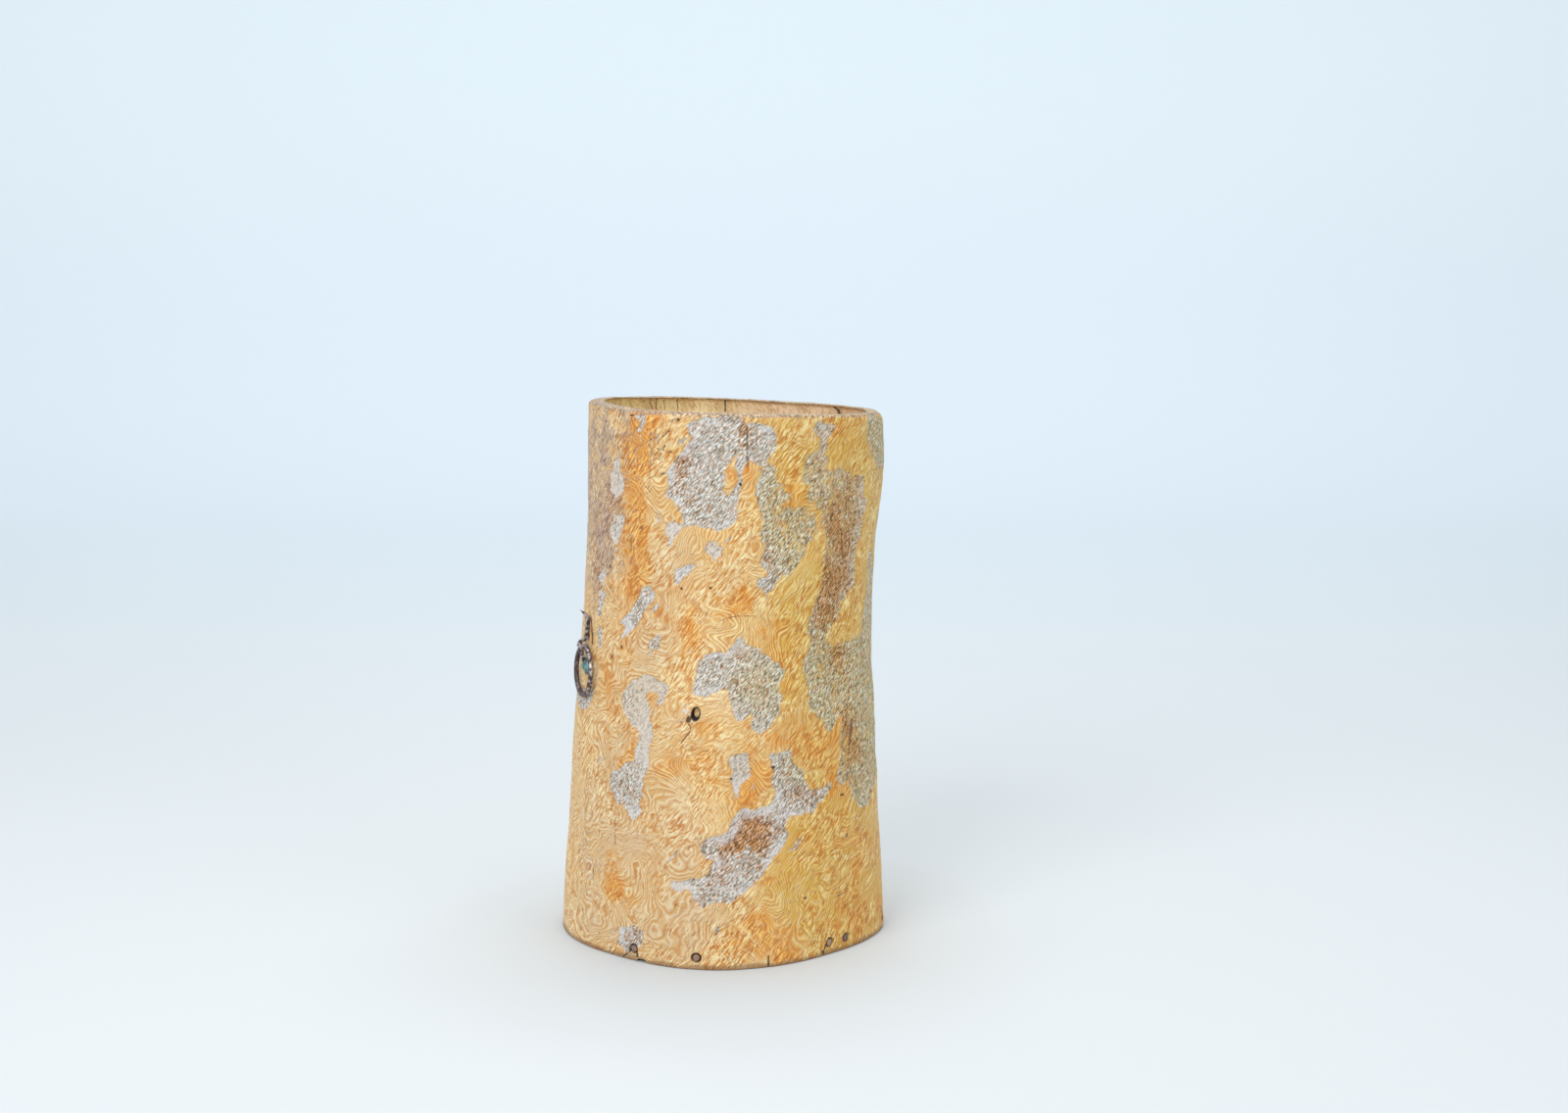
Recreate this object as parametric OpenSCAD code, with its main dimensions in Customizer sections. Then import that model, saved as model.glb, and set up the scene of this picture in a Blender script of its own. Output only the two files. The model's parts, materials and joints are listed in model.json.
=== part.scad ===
// Grain measure: a hollowed length of burl trunk with a pegged bottom board, and an
// iron ring that hangs from a bent nail on its left side.
// Millimetres, Z up, front towards -Y. The origin is the middle of the foot, on the ground.
// Azimuths are degrees round Z from the right (+X), so the front is 270.

/* [Trunk] */
// Height of the rim above the ground, taken at its middle
trunk_h = 400; // [330:1:480]
// Rise of the rim from its middle to the front
rim_rise_front = 9; // [0:0.5:12]
// Rise of the rim from its middle to the left
rim_rise_left = 4.5; // [0:0.5:12]
// Half widths of the foot: left, right, front, back
foot_widths = [123.6, 122.4, 114, 117]; // [95:0.1:150]
// Half widths at the low level: left, right, front, back
low_widths = [114.6, 116.1, 110.5, 112.5]; // [90:0.1:145]
// Half widths at the waist: left, right, front, back
waist_widths = [102.8, 112.2, 107, 108.5]; // [85:0.1:140]
// Half widths at the shoulder: left, right, front, back
shoulder_widths = [100, 120, 106.5, 107]; // [85:0.1:145]
// Half widths at the rim, before its edge is rounded: left, right, front, back
rim_widths = [98.6, 118.8, 107, 106]; // [85:0.1:145]
// Flattening of the foot between its sides: front left, front right, back left, back right
foot_flats = [0.05, 0.065, 0.025, 0.03]; // [0:0.005:0.08]
// Flattening of the rim between its sides: front left, front right, back left, back right
rim_flats = [0.015, 0.025, 0.01, 0.015]; // [0:0.005:0.08]
// Height of the low level
low_z = 130; // [80:1:170]
// Height of the waist
waist_z = 275; // [200:1:280]
// Drop from the rim down to the shoulder
shoulder_drop = 42; // [30:1:55]
// Thickness of the wall at the rim
wall_rim = 11.5; // [9:0.5:16]
// Thickness of the wall at the foot, above the board's seat
wall_foot = 15; // [13:0.5:19]
// Radius of the worn edge on both sides of the rim
rim_round = 3; // [1:0.5:4]
// Width of the worn edge under the outside of the foot
foot_round = 1.5; // [0.5:0.5:3]

/* [Bottom board] */
// Thickness of the board
board_t = 20; // [16:0.5:26]
// Height of the board's underside above the ground
board_lift = 1.5; // [0.5:0.5:4]
// Depth of the seat that is cut into the wall round the board
seat_depth = 4; // [2:0.5:5]
// Clearance between the board and its seat
board_gap = 0.2; // [0.1:0.1:0.5]

/* [Pegs] */
// Diameter of a peg
peg_d = 6.4; // [4:0.2:9]
// Height of the pegs' axes above the ground
peg_z = 9; // [7.5:0.5:14]
// Depth of a peg in the board
peg_depth = 20; // [12:1:30]
// Clearance all round a peg
peg_gap = 0.1; // [0.05:0.05:0.3]

/* [Ring] */
// Outer diameter of the ring
ring_d = 40; // [30:1:50]
// Diameter of the ring's bar
ring_bar = 4; // [3:0.2:5]
// Azimuth at which the nail goes through the wall
fitting_azimuth = 199.6; // [190:0.1:205]
// Azimuth that the flat of the hanging ring faces
ring_facing = 200.4; // [195:0.1:206]
// Height of the middle of the ring's top bar, on which it swings
pivot_z = 225; // [180:1:260]
// Clearance between the hanging ring and the wall
ring_gap = 0.5; // [0.4:0.1:1.2]

/* [Nail] */
// Thickness of the nail's forged shank, and its width inside the wall
nail_d = 2.8; // [2:0.1:3.4]
// Width of the shank outside the wall, where it is hammered flat
nail_flat = 4.4; // [3.4:0.1:6]
// Drop from the ring's pivot to where the nail leaves the wall
nail_drop = 11.5; // [9:0.5:14]
// Clearance between the ring's top bar and the nail's eye
eye_gap = 0.7; // [0.5:0.1:1.5]
// Length of the nail that lies up the wall above the eye
tail_len = 17; // [10:1:25]
// Length of the tapered point, which turns away from the wall
point_len = 8; // [5:0.5:10]
// Diameter of the head inside the wall
head_d = 11; // [8:0.5:14]
// Height of the head
head_h = 3.4; // [2:0.2:5]
// Thickness of the head's edge
head_edge = 0.8; // [0.4:0.1:1.5]
// Clearance between the head and the inside of the wall, at the shank
head_gap = 1; // [0.8:0.1:1.5]

/* [Rove plate] */
// Thickness of the scrap of copper sheet under the nail
rove_t = 0.8; // [0.5:0.1:1.5]
// Clearance between the plate and the wall, and round the nail
rove_gap = 0.2; // [0.1:0.1:0.4]

/* [Hidden] */
$fn = 48;

// Steps round the trunk, and up its outside and its inside
TURN_STEPS = 48;
OUTER_STEPS = 12;
INNER_STEPS = 8;
EDGE_STEPS = 3;

// Azimuth of each peg: uneven, as they were driven by eye
PEG_AZIMUTHS = [180, 234.2, 260.6, 316.5, 325.2, 354.1, 32, 70, 105, 143];

// Outline of the plate as [across, up] from the nail's hole, across towards the front
ROVE_OUTLINE = [[-11, -5], [-3, 2.8], [4, 3.6], [7.5, -1.5], [2, -9.5]];

// Headings of the nail's legs in its own plane, from outwards (0) to upwards (90)
EYE_HEADING = 73;
RETURN_HEADING = 158;
POINT_HEADING = 42;

// Radii of the nail's bends: out of the wall, over the ring, on to the wall, at the point
NAIL_BENDS = [2.5, 3.6, 3.5, 6];

// Sides of the forged shank, and steps in each of its bends
SHANK_SIDES = 8;
BEND_STEPS = 6;

// Step of the shank at which its flat starts to spread, clear of the plate, and the spread's steps
FLAT_START = 2;
FLAT_STEPS = 5;

// Thickness of the nail's point, and of the top of its head, as shares of the shank's
POINT_SHARE = 0.25;
CROWN_TOP_SHARE = 0.9;

// Share of the eye's radius from the pivot up to the corner over the ring
CROWN_SHARE = 0.85;

// Length of a peg's pointed end, and its end diameter as a share of the peg's
PEG_POINT = 4;
PEG_POINT_SHARE = 0.5;

SEAT_TOP = board_lift + board_t;
SHOULDER_Z = trunk_h - shoulder_drop;

// A value that runs smoothly through keys [[height, value], ...] in rising order
function key_below(keys, z, i = 0) =
    i == len(keys) - 2 || z < keys[i + 1][0] ? i : key_below(keys, z, i + 1);
function blend(a, b, slope_a, slope_b, t) =
    a * (2 * t^3 - 3 * t^2 + 1) + slope_a * (t^3 - 2 * t^2 + t)
    + b * (3 * t^2 - 2 * t^3) + slope_b * (t^3 - t^2);
function smooth(keys, z) =
    let (
        i = key_below(keys, z),
        before = keys[max(i - 1, 0)],
        low = keys[i],
        high = keys[i + 1],
        after = keys[min(i + 2, len(keys) - 1)],
        step = high[0] - low[0],
        slope_low = (high[1] - before[1]) / (high[0] - before[0]) * step,
        slope_high = (after[1] - low[1]) / (after[0] - low[0]) * step
    )
    blend(low[1], high[1], slope_low, slope_high, (z - low[0]) / step);

// The trunk's half width towards one side: 0 left, 1 right, 2 front, 3 back
function half_width(side, z) =
    smooth([
        [0, foot_widths[side]],
        [low_z, low_widths[side]],
        [waist_z, waist_widths[side]],
        [SHOULDER_Z, shoulder_widths[side]],
        [trunk_h, rim_widths[side]]
    ], z);

// The wall from the axis out: four quarter ellipses joined round the trunk, each a little flat
function outer_r(a, z) =
    let (
        side = cos(a) < 0 ? 0 : 1,
        face = sin(a) < 0 ? 0 : 1,
        across = half_width(side, z),
        along = half_width(2 + face, z),
        quarter = 2 * face + side,
        flat = foot_flats[quarter] + (rim_flats[quarter] - foot_flats[quarter]) * z / trunk_h
    )
    (1 - flat * sin(2 * a)^2) / sqrt((cos(a) / across)^2 + (sin(a) / along)^2);
function rim_z(a) = trunk_h - rim_rise_front * sin(a) - rim_rise_left * cos(a);
function wall(z) = wall_foot + (wall_rim - wall_foot) * z / trunk_h;
function inner_r(a, z) = outer_r(a, z) - wall(z);
function seat_r(a) = inner_r(a, SEAT_TOP) + seat_depth;

// One cut through the wall at an azimuth, as [radius, height] from the seat outwards and round
function wall_section(a) =
    let (
        top = rim_z(a),
        straight = top - rim_round
    )
    [
        [seat_r(a), 0],
        [outer_r(a, 0) - foot_round, 0],
        for (i = [0:OUTER_STEPS])
            let (z = foot_round + (straight - foot_round) * i / OUTER_STEPS)
            [outer_r(a, z), z],
        for (i = [1:EDGE_STEPS])
            let (q = 90 * i / EDGE_STEPS)
            [outer_r(a, straight) - rim_round * (1 - cos(q)), straight + rim_round * sin(q)],
        for (i = [EDGE_STEPS:-1:1])
            let (q = 90 * i / EDGE_STEPS)
            [inner_r(a, straight) + rim_round * (1 - cos(q)), straight + rim_round * sin(q)],
        for (i = [INNER_STEPS:-1:0])
            let (z = SEAT_TOP + (straight - SEAT_TOP) * i / INNER_STEPS)
            [inner_r(a, z), z],
        [seat_r(a), SEAT_TOP]
    ];

// A closed wall swept round the axis from one section for each step
module swept_wall() {
    sections = [for (j = [0:TURN_STEPS - 1]) wall_section(360 * j / TURN_STEPS)];
    size = len(sections[0]);
    points = [
        for (j = [0:TURN_STEPS - 1])
            for (p = sections[j])
                [p[0] * cos(360 * j / TURN_STEPS), p[0] * sin(360 * j / TURN_STEPS), p[1]]
    ];
    faces = [
        for (j = [0:TURN_STEPS - 1])
            for (i = [0:size - 1])
                let (
                    a = j * size + i,
                    b = j * size + (i + 1) % size,
                    c = ((j + 1) % TURN_STEPS) * size + (i + 1) % size,
                    d = ((j + 1) % TURN_STEPS) * size + i
                )
                each [[a, b, c], [a, c, d]]
    ];
    polyhedron(points, faces, convexity = 6);
}

// A cylinder along an azimuth, from one radius out to another
module radial(a, z, from_r, to_r, d) {
    rotate([0, 0, a]) translate([from_r, 0, z]) rotate([0, 90, 0])
        cylinder(d = d, h = to_r - from_r);
}

// How far out a peg starts and ends, and the hole that takes it
function peg_out(a) = outer_r(a, peg_z);
function peg_in(a) = seat_r(a) - peg_depth;
module peg_hole(a) {
    radial(a, peg_z, peg_in(a) - peg_gap, peg_out(a) + wall_foot, peg_d + 2 * peg_gap);
}

// The nail and the ring share an upright plane. In it X is the distance out from the wall at
// the ring's pivot, along the way that the ring faces, and Y is the height above the ground.
FIT_R = outer_r(fitting_azimuth, pivot_z);
function wall_x(z) = outer_r(fitting_azimuth, z) - FIT_R;
module at_fitting(x, z) {
    rotate([0, 0, fitting_azimuth]) translate([FIT_R, 0, 0])
        rotate([0, 0, ring_facing - fitting_azimuth]) translate([x, 0, z])
            children();
}

RING_DROP = ring_d - ring_bar;
WALL_LEAN = atan((wall_x(pivot_z - RING_DROP) - wall_x(pivot_z)) / RING_DROP);
PIVOT = [ring_gap + ring_bar / 2, pivot_z];
NAIL_Z = pivot_z - nail_drop;
NAIL_HOLE_D = nail_d / cos(180 / SHANK_SIDES) + 2 * rove_gap;

// Where two lines meet, each given by a point and a heading
function meet(p, heading_p, q, heading_q) =
    let (
        u = [cos(heading_p), sin(heading_p)],
        v = [cos(heading_q), sin(heading_q)],
        w = q - p
    )
    p + u * (w[0] * v[1] - w[1] * v[0]) / (u[0] * v[1] - u[1] * v[0]);

// The corners of the nail: out of the wall, over the ring, back to the wall, up it and away
EYE_R = ring_bar / 2 + eye_gap + nail_d / 2;
EYE_SIDE = PIVOT + EYE_R * [sin(EYE_HEADING), -cos(EYE_HEADING)];
EYE_FOOT = meet([0, NAIL_Z], 0, EYE_SIDE, EYE_HEADING);
EYE_CROWN = meet([0, pivot_z + CROWN_SHARE * EYE_R], 0, EYE_SIDE, EYE_HEADING);
TAIL_HEADING = 90 + WALL_LEAN;
TAIL_FOOT = meet(EYE_CROWN, RETURN_HEADING, [ring_gap + nail_d / 2, pivot_z], TAIL_HEADING);
TAIL_TOP = TAIL_FOOT + tail_len * [cos(TAIL_HEADING), sin(TAIL_HEADING)];
POINT_END = TAIL_TOP + point_len * [cos(POINT_HEADING), sin(POINT_HEADING)];
HEAD_FACE = [wall_x(NAIL_Z) - wall(NAIL_Z) - head_gap, NAIL_Z];
NAIL_CORNERS = [HEAD_FACE, EYE_FOOT, EYE_CROWN, TAIL_FOOT, TAIL_TOP, POINT_END];

// A path through corners with each corner bent, as [[x, z], heading] at each step
function heading_of(path, i) =
    atan2(path[i + 1][1] - path[i][1], path[i + 1][0] - path[i][0]);
function bent_path(path, bends) = [
    [path[0], heading_of(path, 0)],
    for (i = [1:len(path) - 2])
        let (
            ahead = heading_of(path, i - 1),
            turn = heading_of(path, i) - ahead,
            r = bends[i - 1],
            side = sign(turn),
            enter = path[i] - r * abs(tan(turn / 2)) * [cos(ahead), sin(ahead)],
            middle = enter + side * r * [-sin(ahead), cos(ahead)]
        )
        for (k = [0:BEND_STEPS])
            let (h = ahead + turn * k / BEND_STEPS)
            [middle + side * r * [sin(h), -cos(h)], h],
    [path[len(path) - 1], heading_of(path, len(path) - 2)]
];

// Half width of the shank at one of its steps
function shank_half_width(i) =
    (nail_d + (nail_flat - nail_d) * min(max((i - FLAT_START) / FLAT_STEPS, 0), 1)) / 2;

// A closed bar swept in the XZ plane along stations [[x, z], heading, half thickness, half width]
module swept_bar(stations) {
    n = SHANK_SIDES;
    last = len(stations) - 1;
    points = [
        for (s = stations)
            for (k = [0:n - 1])
                let (
                    q = 360 * (k + 0.5) / n,
                    up = s[2] * cos(q) / cos(180 / n),
                    across = s[3] * sin(q) / cos(180 / n)
                )
                [s[0][0] - up * sin(s[1]), across, s[0][1] + up * cos(s[1])]
    ];
    sides = [
        for (i = [0:last - 1])
            for (k = [0:n - 1])
                let (a = i * n + k, b = i * n + (k + 1) % n)
                each [[a, a + n, b + n], [a, b + n, b]]
    ];
    ends = [[for (k = [0:n - 1]) k], [for (k = [n - 1:-1:0]) last * n + k]];
    polyhedron(points, concat(sides, ends), convexity = 6);
}

module trunk() {
    color("#dba861")
        difference() {
            swept_wall();
            for (a = PEG_AZIMUTHS) peg_hole(a);
            at_fitting(HEAD_FACE[0] - wall_foot, NAIL_Z) rotate([0, 90, 0])
                cylinder(d = NAIL_HOLE_D, h = 3 * wall_foot);
        }
}

module bottom_board() {
    outline = [
        for (j = [0:TURN_STEPS - 1])
            let (a = 360 * j / TURN_STEPS)
            (seat_r(a) - board_gap) * [cos(a), sin(a)]
    ];
    color("#a5885f")
        difference() {
            translate([0, 0, board_lift]) linear_extrude(board_t - board_gap) polygon(outline);
            for (a = PEG_AZIMUTHS) peg_hole(a);
        }
}

module bottom_peg(a) {
    color("#6b5646")
        union() {
            radial(a, peg_z, peg_in(a) + PEG_POINT, peg_out(a), peg_d);
            rotate([0, 0, a]) translate([peg_in(a), 0, peg_z]) rotate([0, 90, 0])
                cylinder(d1 = PEG_POINT_SHARE * peg_d, d2 = peg_d, h = PEG_POINT);
        }
}

module eye_nail() {
    shank = bent_path(NAIL_CORNERS, NAIL_BENDS);
    last = len(shank) - 1;
    crown_top = CROWN_TOP_SHARE * nail_d / 2;
    color("#4a3c3a")
        at_fitting(0, 0)
            swept_bar([
                [HEAD_FACE - [head_h, 0], 0, crown_top, crown_top],
                [HEAD_FACE - [head_edge, 0], 0, head_d / 2, head_d / 2],
                [HEAD_FACE, 0, head_d / 2, head_d / 2],
                for (i = [0:last - 1])
                    [shank[i][0], shank[i][1], nail_d / 2, shank_half_width(i)],
                [shank[last][0], shank[last][1], POINT_SHARE * nail_d / 2, POINT_SHARE * nail_flat / 2]
            ]);
}

module rove_plate() {
    color("#4fa79b")
        at_fitting(wall_x(NAIL_Z) + rove_gap, NAIL_Z) rotate([0, -WALL_LEAN, 0])
            rotate([90, 0, 90]) linear_extrude(rove_t)
                difference() {
                    polygon([for (p = ROVE_OUTLINE) [-p[0], p[1]]]);
                    circle(d = NAIL_HOLE_D + 2 * rove_gap);
                }
}

module ring() {
    ring_r = RING_DROP / 2;
    color("#4d403e")
        at_fitting(PIVOT[0], PIVOT[1])
            rotate([0, 90 - WALL_LEAN, 0]) translate([ring_r, 0, 0])
                rotate_extrude() translate([ring_r, 0]) circle(d = ring_bar);
}

trunk();
bottom_board();
for (i = [1:len(PEG_AZIMUTHS)])
    bottom_peg(PEG_AZIMUTHS[i - 1]);
eye_nail();
rove_plate();
ring();
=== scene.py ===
"""The looks of a grain measure: a worn burl trunk, its pegged bottom board and its iron ring.

Metres, Z up, the front faces -Y. Azimuths are angles round Z from +X, and a turn is the same
angle measured from the front, so that it breaks at the back: 0 in front, positive to the right.
"""

from __future__ import annotations

import json
import logging
import math
from dataclasses import dataclass, field
from enum import Enum
from typing import Iterable, Sequence

import bmesh
import bpy
import numpy as np
from mathutils import Matrix, Vector, noise

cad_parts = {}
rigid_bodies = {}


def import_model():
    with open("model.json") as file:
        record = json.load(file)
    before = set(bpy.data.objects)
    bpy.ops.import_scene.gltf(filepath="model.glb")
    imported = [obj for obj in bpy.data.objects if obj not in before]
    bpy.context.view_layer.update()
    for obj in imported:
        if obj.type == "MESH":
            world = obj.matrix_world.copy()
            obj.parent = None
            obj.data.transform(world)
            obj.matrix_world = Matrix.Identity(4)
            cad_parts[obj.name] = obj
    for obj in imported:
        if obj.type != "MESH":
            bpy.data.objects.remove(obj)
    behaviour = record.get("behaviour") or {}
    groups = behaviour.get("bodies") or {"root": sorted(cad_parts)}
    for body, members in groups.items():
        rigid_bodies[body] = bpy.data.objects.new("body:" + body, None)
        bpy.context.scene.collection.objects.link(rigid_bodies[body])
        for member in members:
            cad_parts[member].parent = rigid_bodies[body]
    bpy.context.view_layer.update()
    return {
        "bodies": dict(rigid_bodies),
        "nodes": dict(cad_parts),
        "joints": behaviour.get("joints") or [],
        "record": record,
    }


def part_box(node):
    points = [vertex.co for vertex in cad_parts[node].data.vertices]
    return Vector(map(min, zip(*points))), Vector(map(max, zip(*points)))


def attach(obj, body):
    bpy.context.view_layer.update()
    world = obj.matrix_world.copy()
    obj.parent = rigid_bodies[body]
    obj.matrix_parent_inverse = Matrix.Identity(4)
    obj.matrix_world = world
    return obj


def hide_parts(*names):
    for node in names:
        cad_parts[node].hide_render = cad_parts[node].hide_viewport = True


LOG = logging.getLogger("grain_measure")
WALL_BODY = "measure"
RING_BODY = "ring"
MM = 0.001

Pixel = tuple[float, float]
Colour = tuple[float, float, float, float]
Socket = bpy.types.NodeSocket


def srgb(red: int, green: int, blue: int) -> Colour:
    """Turn a screen colour into the linear one that a shader takes.

    Args:
        red, green, blue: the screen colour, 0 to 255 each.

    Returns:
        The linear colour, with alpha 1.
    """
    linear = []
    for part in (red / 255, green / 255, blue / 255):
        linear.append(part / 12.92 if part <= 0.04045 else ((part + 0.055) / 1.055) ** 2.4)
    return (linear[0], linear[1], linear[2], 1.0)


def wrap(angle: np.ndarray) -> np.ndarray:
    """Bring angles into the range from minus pi to pi."""
    return (np.asarray(angle) + math.pi) % (2 * math.pi) - math.pi


def ease(value: np.ndarray, low: float, high: float) -> np.ndarray:
    """Rise smoothly from 0 at low to 1 at high; falls when low is above high."""
    share = np.clip((np.asarray(value, float) - low) / (high - low), 0, 1)
    return share * share * (3 - 2 * share)


def noise_field(points: np.ndarray, scale: float, shift: float = 0.0) -> np.ndarray:
    """Smooth noise at many points.

    Args:
        points: an array of places, one row each, in metres.
        scale: waves of noise per metre.
        shift: moves the noise, so that two fields of one scale differ.

    Returns:
        One value for each point, about -1 to 1.
    """
    offset = Vector((shift, 1.7 * shift, -shift))
    return np.array([noise.noise(Vector(p) * scale + offset) for p in points])


def signed_distance(points: np.ndarray, outline: np.ndarray) -> np.ndarray:
    """Distance from points to a closed outline, negative inside it.

    Args:
        points: places in the plane, one row each.
        outline: the outline's corners, one row each.

    Returns:
        One distance for each point.
    """
    nearest = np.full(len(points), np.inf)
    inside = np.zeros(len(points), bool)
    for start, end in zip(outline, np.roll(outline, -1, axis=0)):
        edge = end - start
        reach = points - start
        along = np.clip(reach @ edge / max(edge @ edge, 1e-12), 0, 1)
        nearest = np.minimum(nearest, np.hypot(*(reach - along[:, None] * edge).T))
        crosses = (start[1] > points[:, 1]) != (end[1] > points[:, 1])
        rise = end[1] - start[1] if end[1] != start[1] else 1e-12
        inside ^= crosses & (points[:, 0] < start[0] + (points[:, 1] - start[1]) * edge[0] / rise)
    return np.where(inside, -nearest, nearest)


def rounded(outline: np.ndarray, steps: int = 3) -> np.ndarray:
    """Draw a closed curve through an outline's corners.

    Args:
        outline: the corners, one row each.
        steps: how many points each side is cut into.

    Returns:
        The curve's points, one row each.
    """
    before, after = np.roll(outline, 1, axis=0), np.roll(outline, -1, axis=0)
    beyond = np.roll(outline, -2, axis=0)
    rows = []
    for step in range(steps):
        t = step / steps
        rows.append(0.5 * (2 * outline + (after - before) * t
                           + (2 * before - 5 * outline + 4 * after - beyond) * t * t
                           + (3 * outline - before - 3 * after + beyond) * t ** 3))
    return np.stack(rows, axis=1).reshape(-1, 2)


@dataclass(frozen=True)
class View:
    """The viewing angle that the measure is shown from, as a camera and as lines of sight."""

    width_px: int = 1600
    height_px: int = 1136
    focal_px: float = 3150.0
    pitch: float = math.radians(11.27)
    place: tuple[float, float, float] = (0.0458, -2.2667, 0.7377)
    sensor: float = 36.0

    def sight(self, pixel: Pixel) -> np.ndarray:
        """Direction in which the camera sees a pixel, as a unit vector."""
        forward = np.array([0, math.cos(self.pitch), -math.sin(self.pitch)])
        up = np.array([0, math.sin(self.pitch), math.cos(self.pitch)])
        across = (pixel[0] - self.width_px / 2) / self.focal_px
        down = (pixel[1] - self.height_px / 2) / self.focal_px
        line = forward + across * np.array([1.0, 0, 0]) - down * up
        return line / np.linalg.norm(line)

    def add_camera(self) -> bpy.types.Object:
        """Add the camera and make it the scene's."""
        data = bpy.data.cameras.new("view")
        data.sensor_width = self.sensor
        data.lens = self.focal_px / self.width_px * self.sensor
        camera = bpy.data.objects.new("view", data)
        camera.location = self.place
        camera.rotation_euler = (math.pi / 2 - self.pitch, 0, 0)
        bpy.context.scene.collection.objects.link(camera)
        bpy.context.scene.camera = camera
        return camera


class Side(Enum):
    """The two faces of the wall."""

    OUTSIDE = "outside"
    INSIDE = "inside"


@dataclass(frozen=True)
class TrunkForm:
    """The hollowed trunk's form, in the CAD trunk's own sizes."""

    height: float = 0.400
    rim_rise_front: float = 0.009
    rim_rise_left: float = 0.0045
    levels: tuple[float, ...] = (0.0, 0.130, 0.275, 0.358, 0.400)
    left: tuple[float, ...] = (0.1236, 0.1146, 0.1028, 0.1000, 0.0986)
    right: tuple[float, ...] = (0.1224, 0.1161, 0.1122, 0.1200, 0.1188)
    front: tuple[float, ...] = (0.114, 0.1105, 0.107, 0.1065, 0.107)
    back: tuple[float, ...] = (0.117, 0.1125, 0.1085, 0.107, 0.106)
    foot_flats: tuple[float, ...] = (0.05, 0.065, 0.025, 0.03)
    rim_flats: tuple[float, ...] = (0.015, 0.025, 0.01, 0.015)
    wall_foot: float = 0.015
    wall_rim: float = 0.0115
    seat_depth: float = 0.004
    seat_top: float = 0.0215
    foot_round: float = 0.0015
    rim_dip: float = 0.0015
    arc_radius: float = 0.110

    def half_width(self, widths: Sequence[float], z: np.ndarray) -> np.ndarray:
        """Half width at heights, run smoothly through the levels."""
        levels, values = np.array(self.levels), np.array(widths)
        slopes = np.empty(len(levels))
        slopes[1:-1] = (values[2:] - values[:-2]) / (levels[2:] - levels[:-2])
        slopes[0] = (values[1] - values[0]) / (levels[1] - levels[0])
        slopes[-1] = (values[-1] - values[-2]) / (levels[-1] - levels[-2])
        i = np.clip(np.searchsorted(levels, z, side="right") - 1, 0, len(levels) - 2)
        step = levels[i + 1] - levels[i]
        t = (z - levels[i]) / step
        return (values[i] * (2 * t ** 3 - 3 * t ** 2 + 1) + slopes[i] * step * (t ** 3 - 2 * t ** 2 + t)
                + values[i + 1] * (3 * t ** 2 - 2 * t ** 3) + slopes[i + 1] * step * (t ** 3 - t ** 2))

    def radius(self, azimuth: np.ndarray, z: np.ndarray) -> np.ndarray:
        """Distance from the axis out to the wall's smooth outside."""
        azimuth, z = np.broadcast_arrays(np.asarray(azimuth, float), np.asarray(z, float))
        cosine, sine = np.cos(azimuth), np.sin(azimuth)
        across = np.where(cosine < 0, self.half_width(self.left, z), self.half_width(self.right, z))
        along = np.where(sine < 0, self.half_width(self.front, z), self.half_width(self.back, z))
        quarter = 2 * (sine >= 0).astype(int) + (cosine >= 0).astype(int)
        foot, rim = np.array(self.foot_flats)[quarter], np.array(self.rim_flats)[quarter]
        flat = foot + (rim - foot) * z / self.height
        bulge = 1 - flat * np.sin(2 * azimuth) ** 2
        return bulge / np.sqrt((cosine / across) ** 2 + (sine / along) ** 2)

    def inner_radius(self, azimuth: np.ndarray, z: np.ndarray) -> np.ndarray:
        """Distance from the axis out to the wall's inside."""
        wall = self.wall_foot + (self.wall_rim - self.wall_foot) * np.asarray(z) / self.height
        return self.radius(azimuth, z) - wall

    def seat_radius(self, azimuth: np.ndarray) -> np.ndarray:
        """Distance from the axis out to the seat that is cut round the bottom board."""
        return self.inner_radius(azimuth, np.full_like(azimuth, self.seat_top)) + self.seat_depth

    def rim_height(self, azimuth: np.ndarray) -> np.ndarray:
        """Height of the rim's crest, which is cut a little unevenly in front."""
        level = (self.height - self.rim_rise_front * np.sin(azimuth)
                 - self.rim_rise_left * np.cos(azimuth))
        dip = np.where(np.sin(azimuth) < 0, self.rim_dip * np.sin(2 * azimuth), 0)
        return level - dip

    def unroll(self, points: np.ndarray) -> np.ndarray:
        """Lay points of the wall out flat, as arc length from the front and height."""
        turn = np.arctan2(points[:, 0], -points[:, 1])
        return np.stack([turn * self.arc_radius, points[:, 2]], axis=1)


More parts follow.
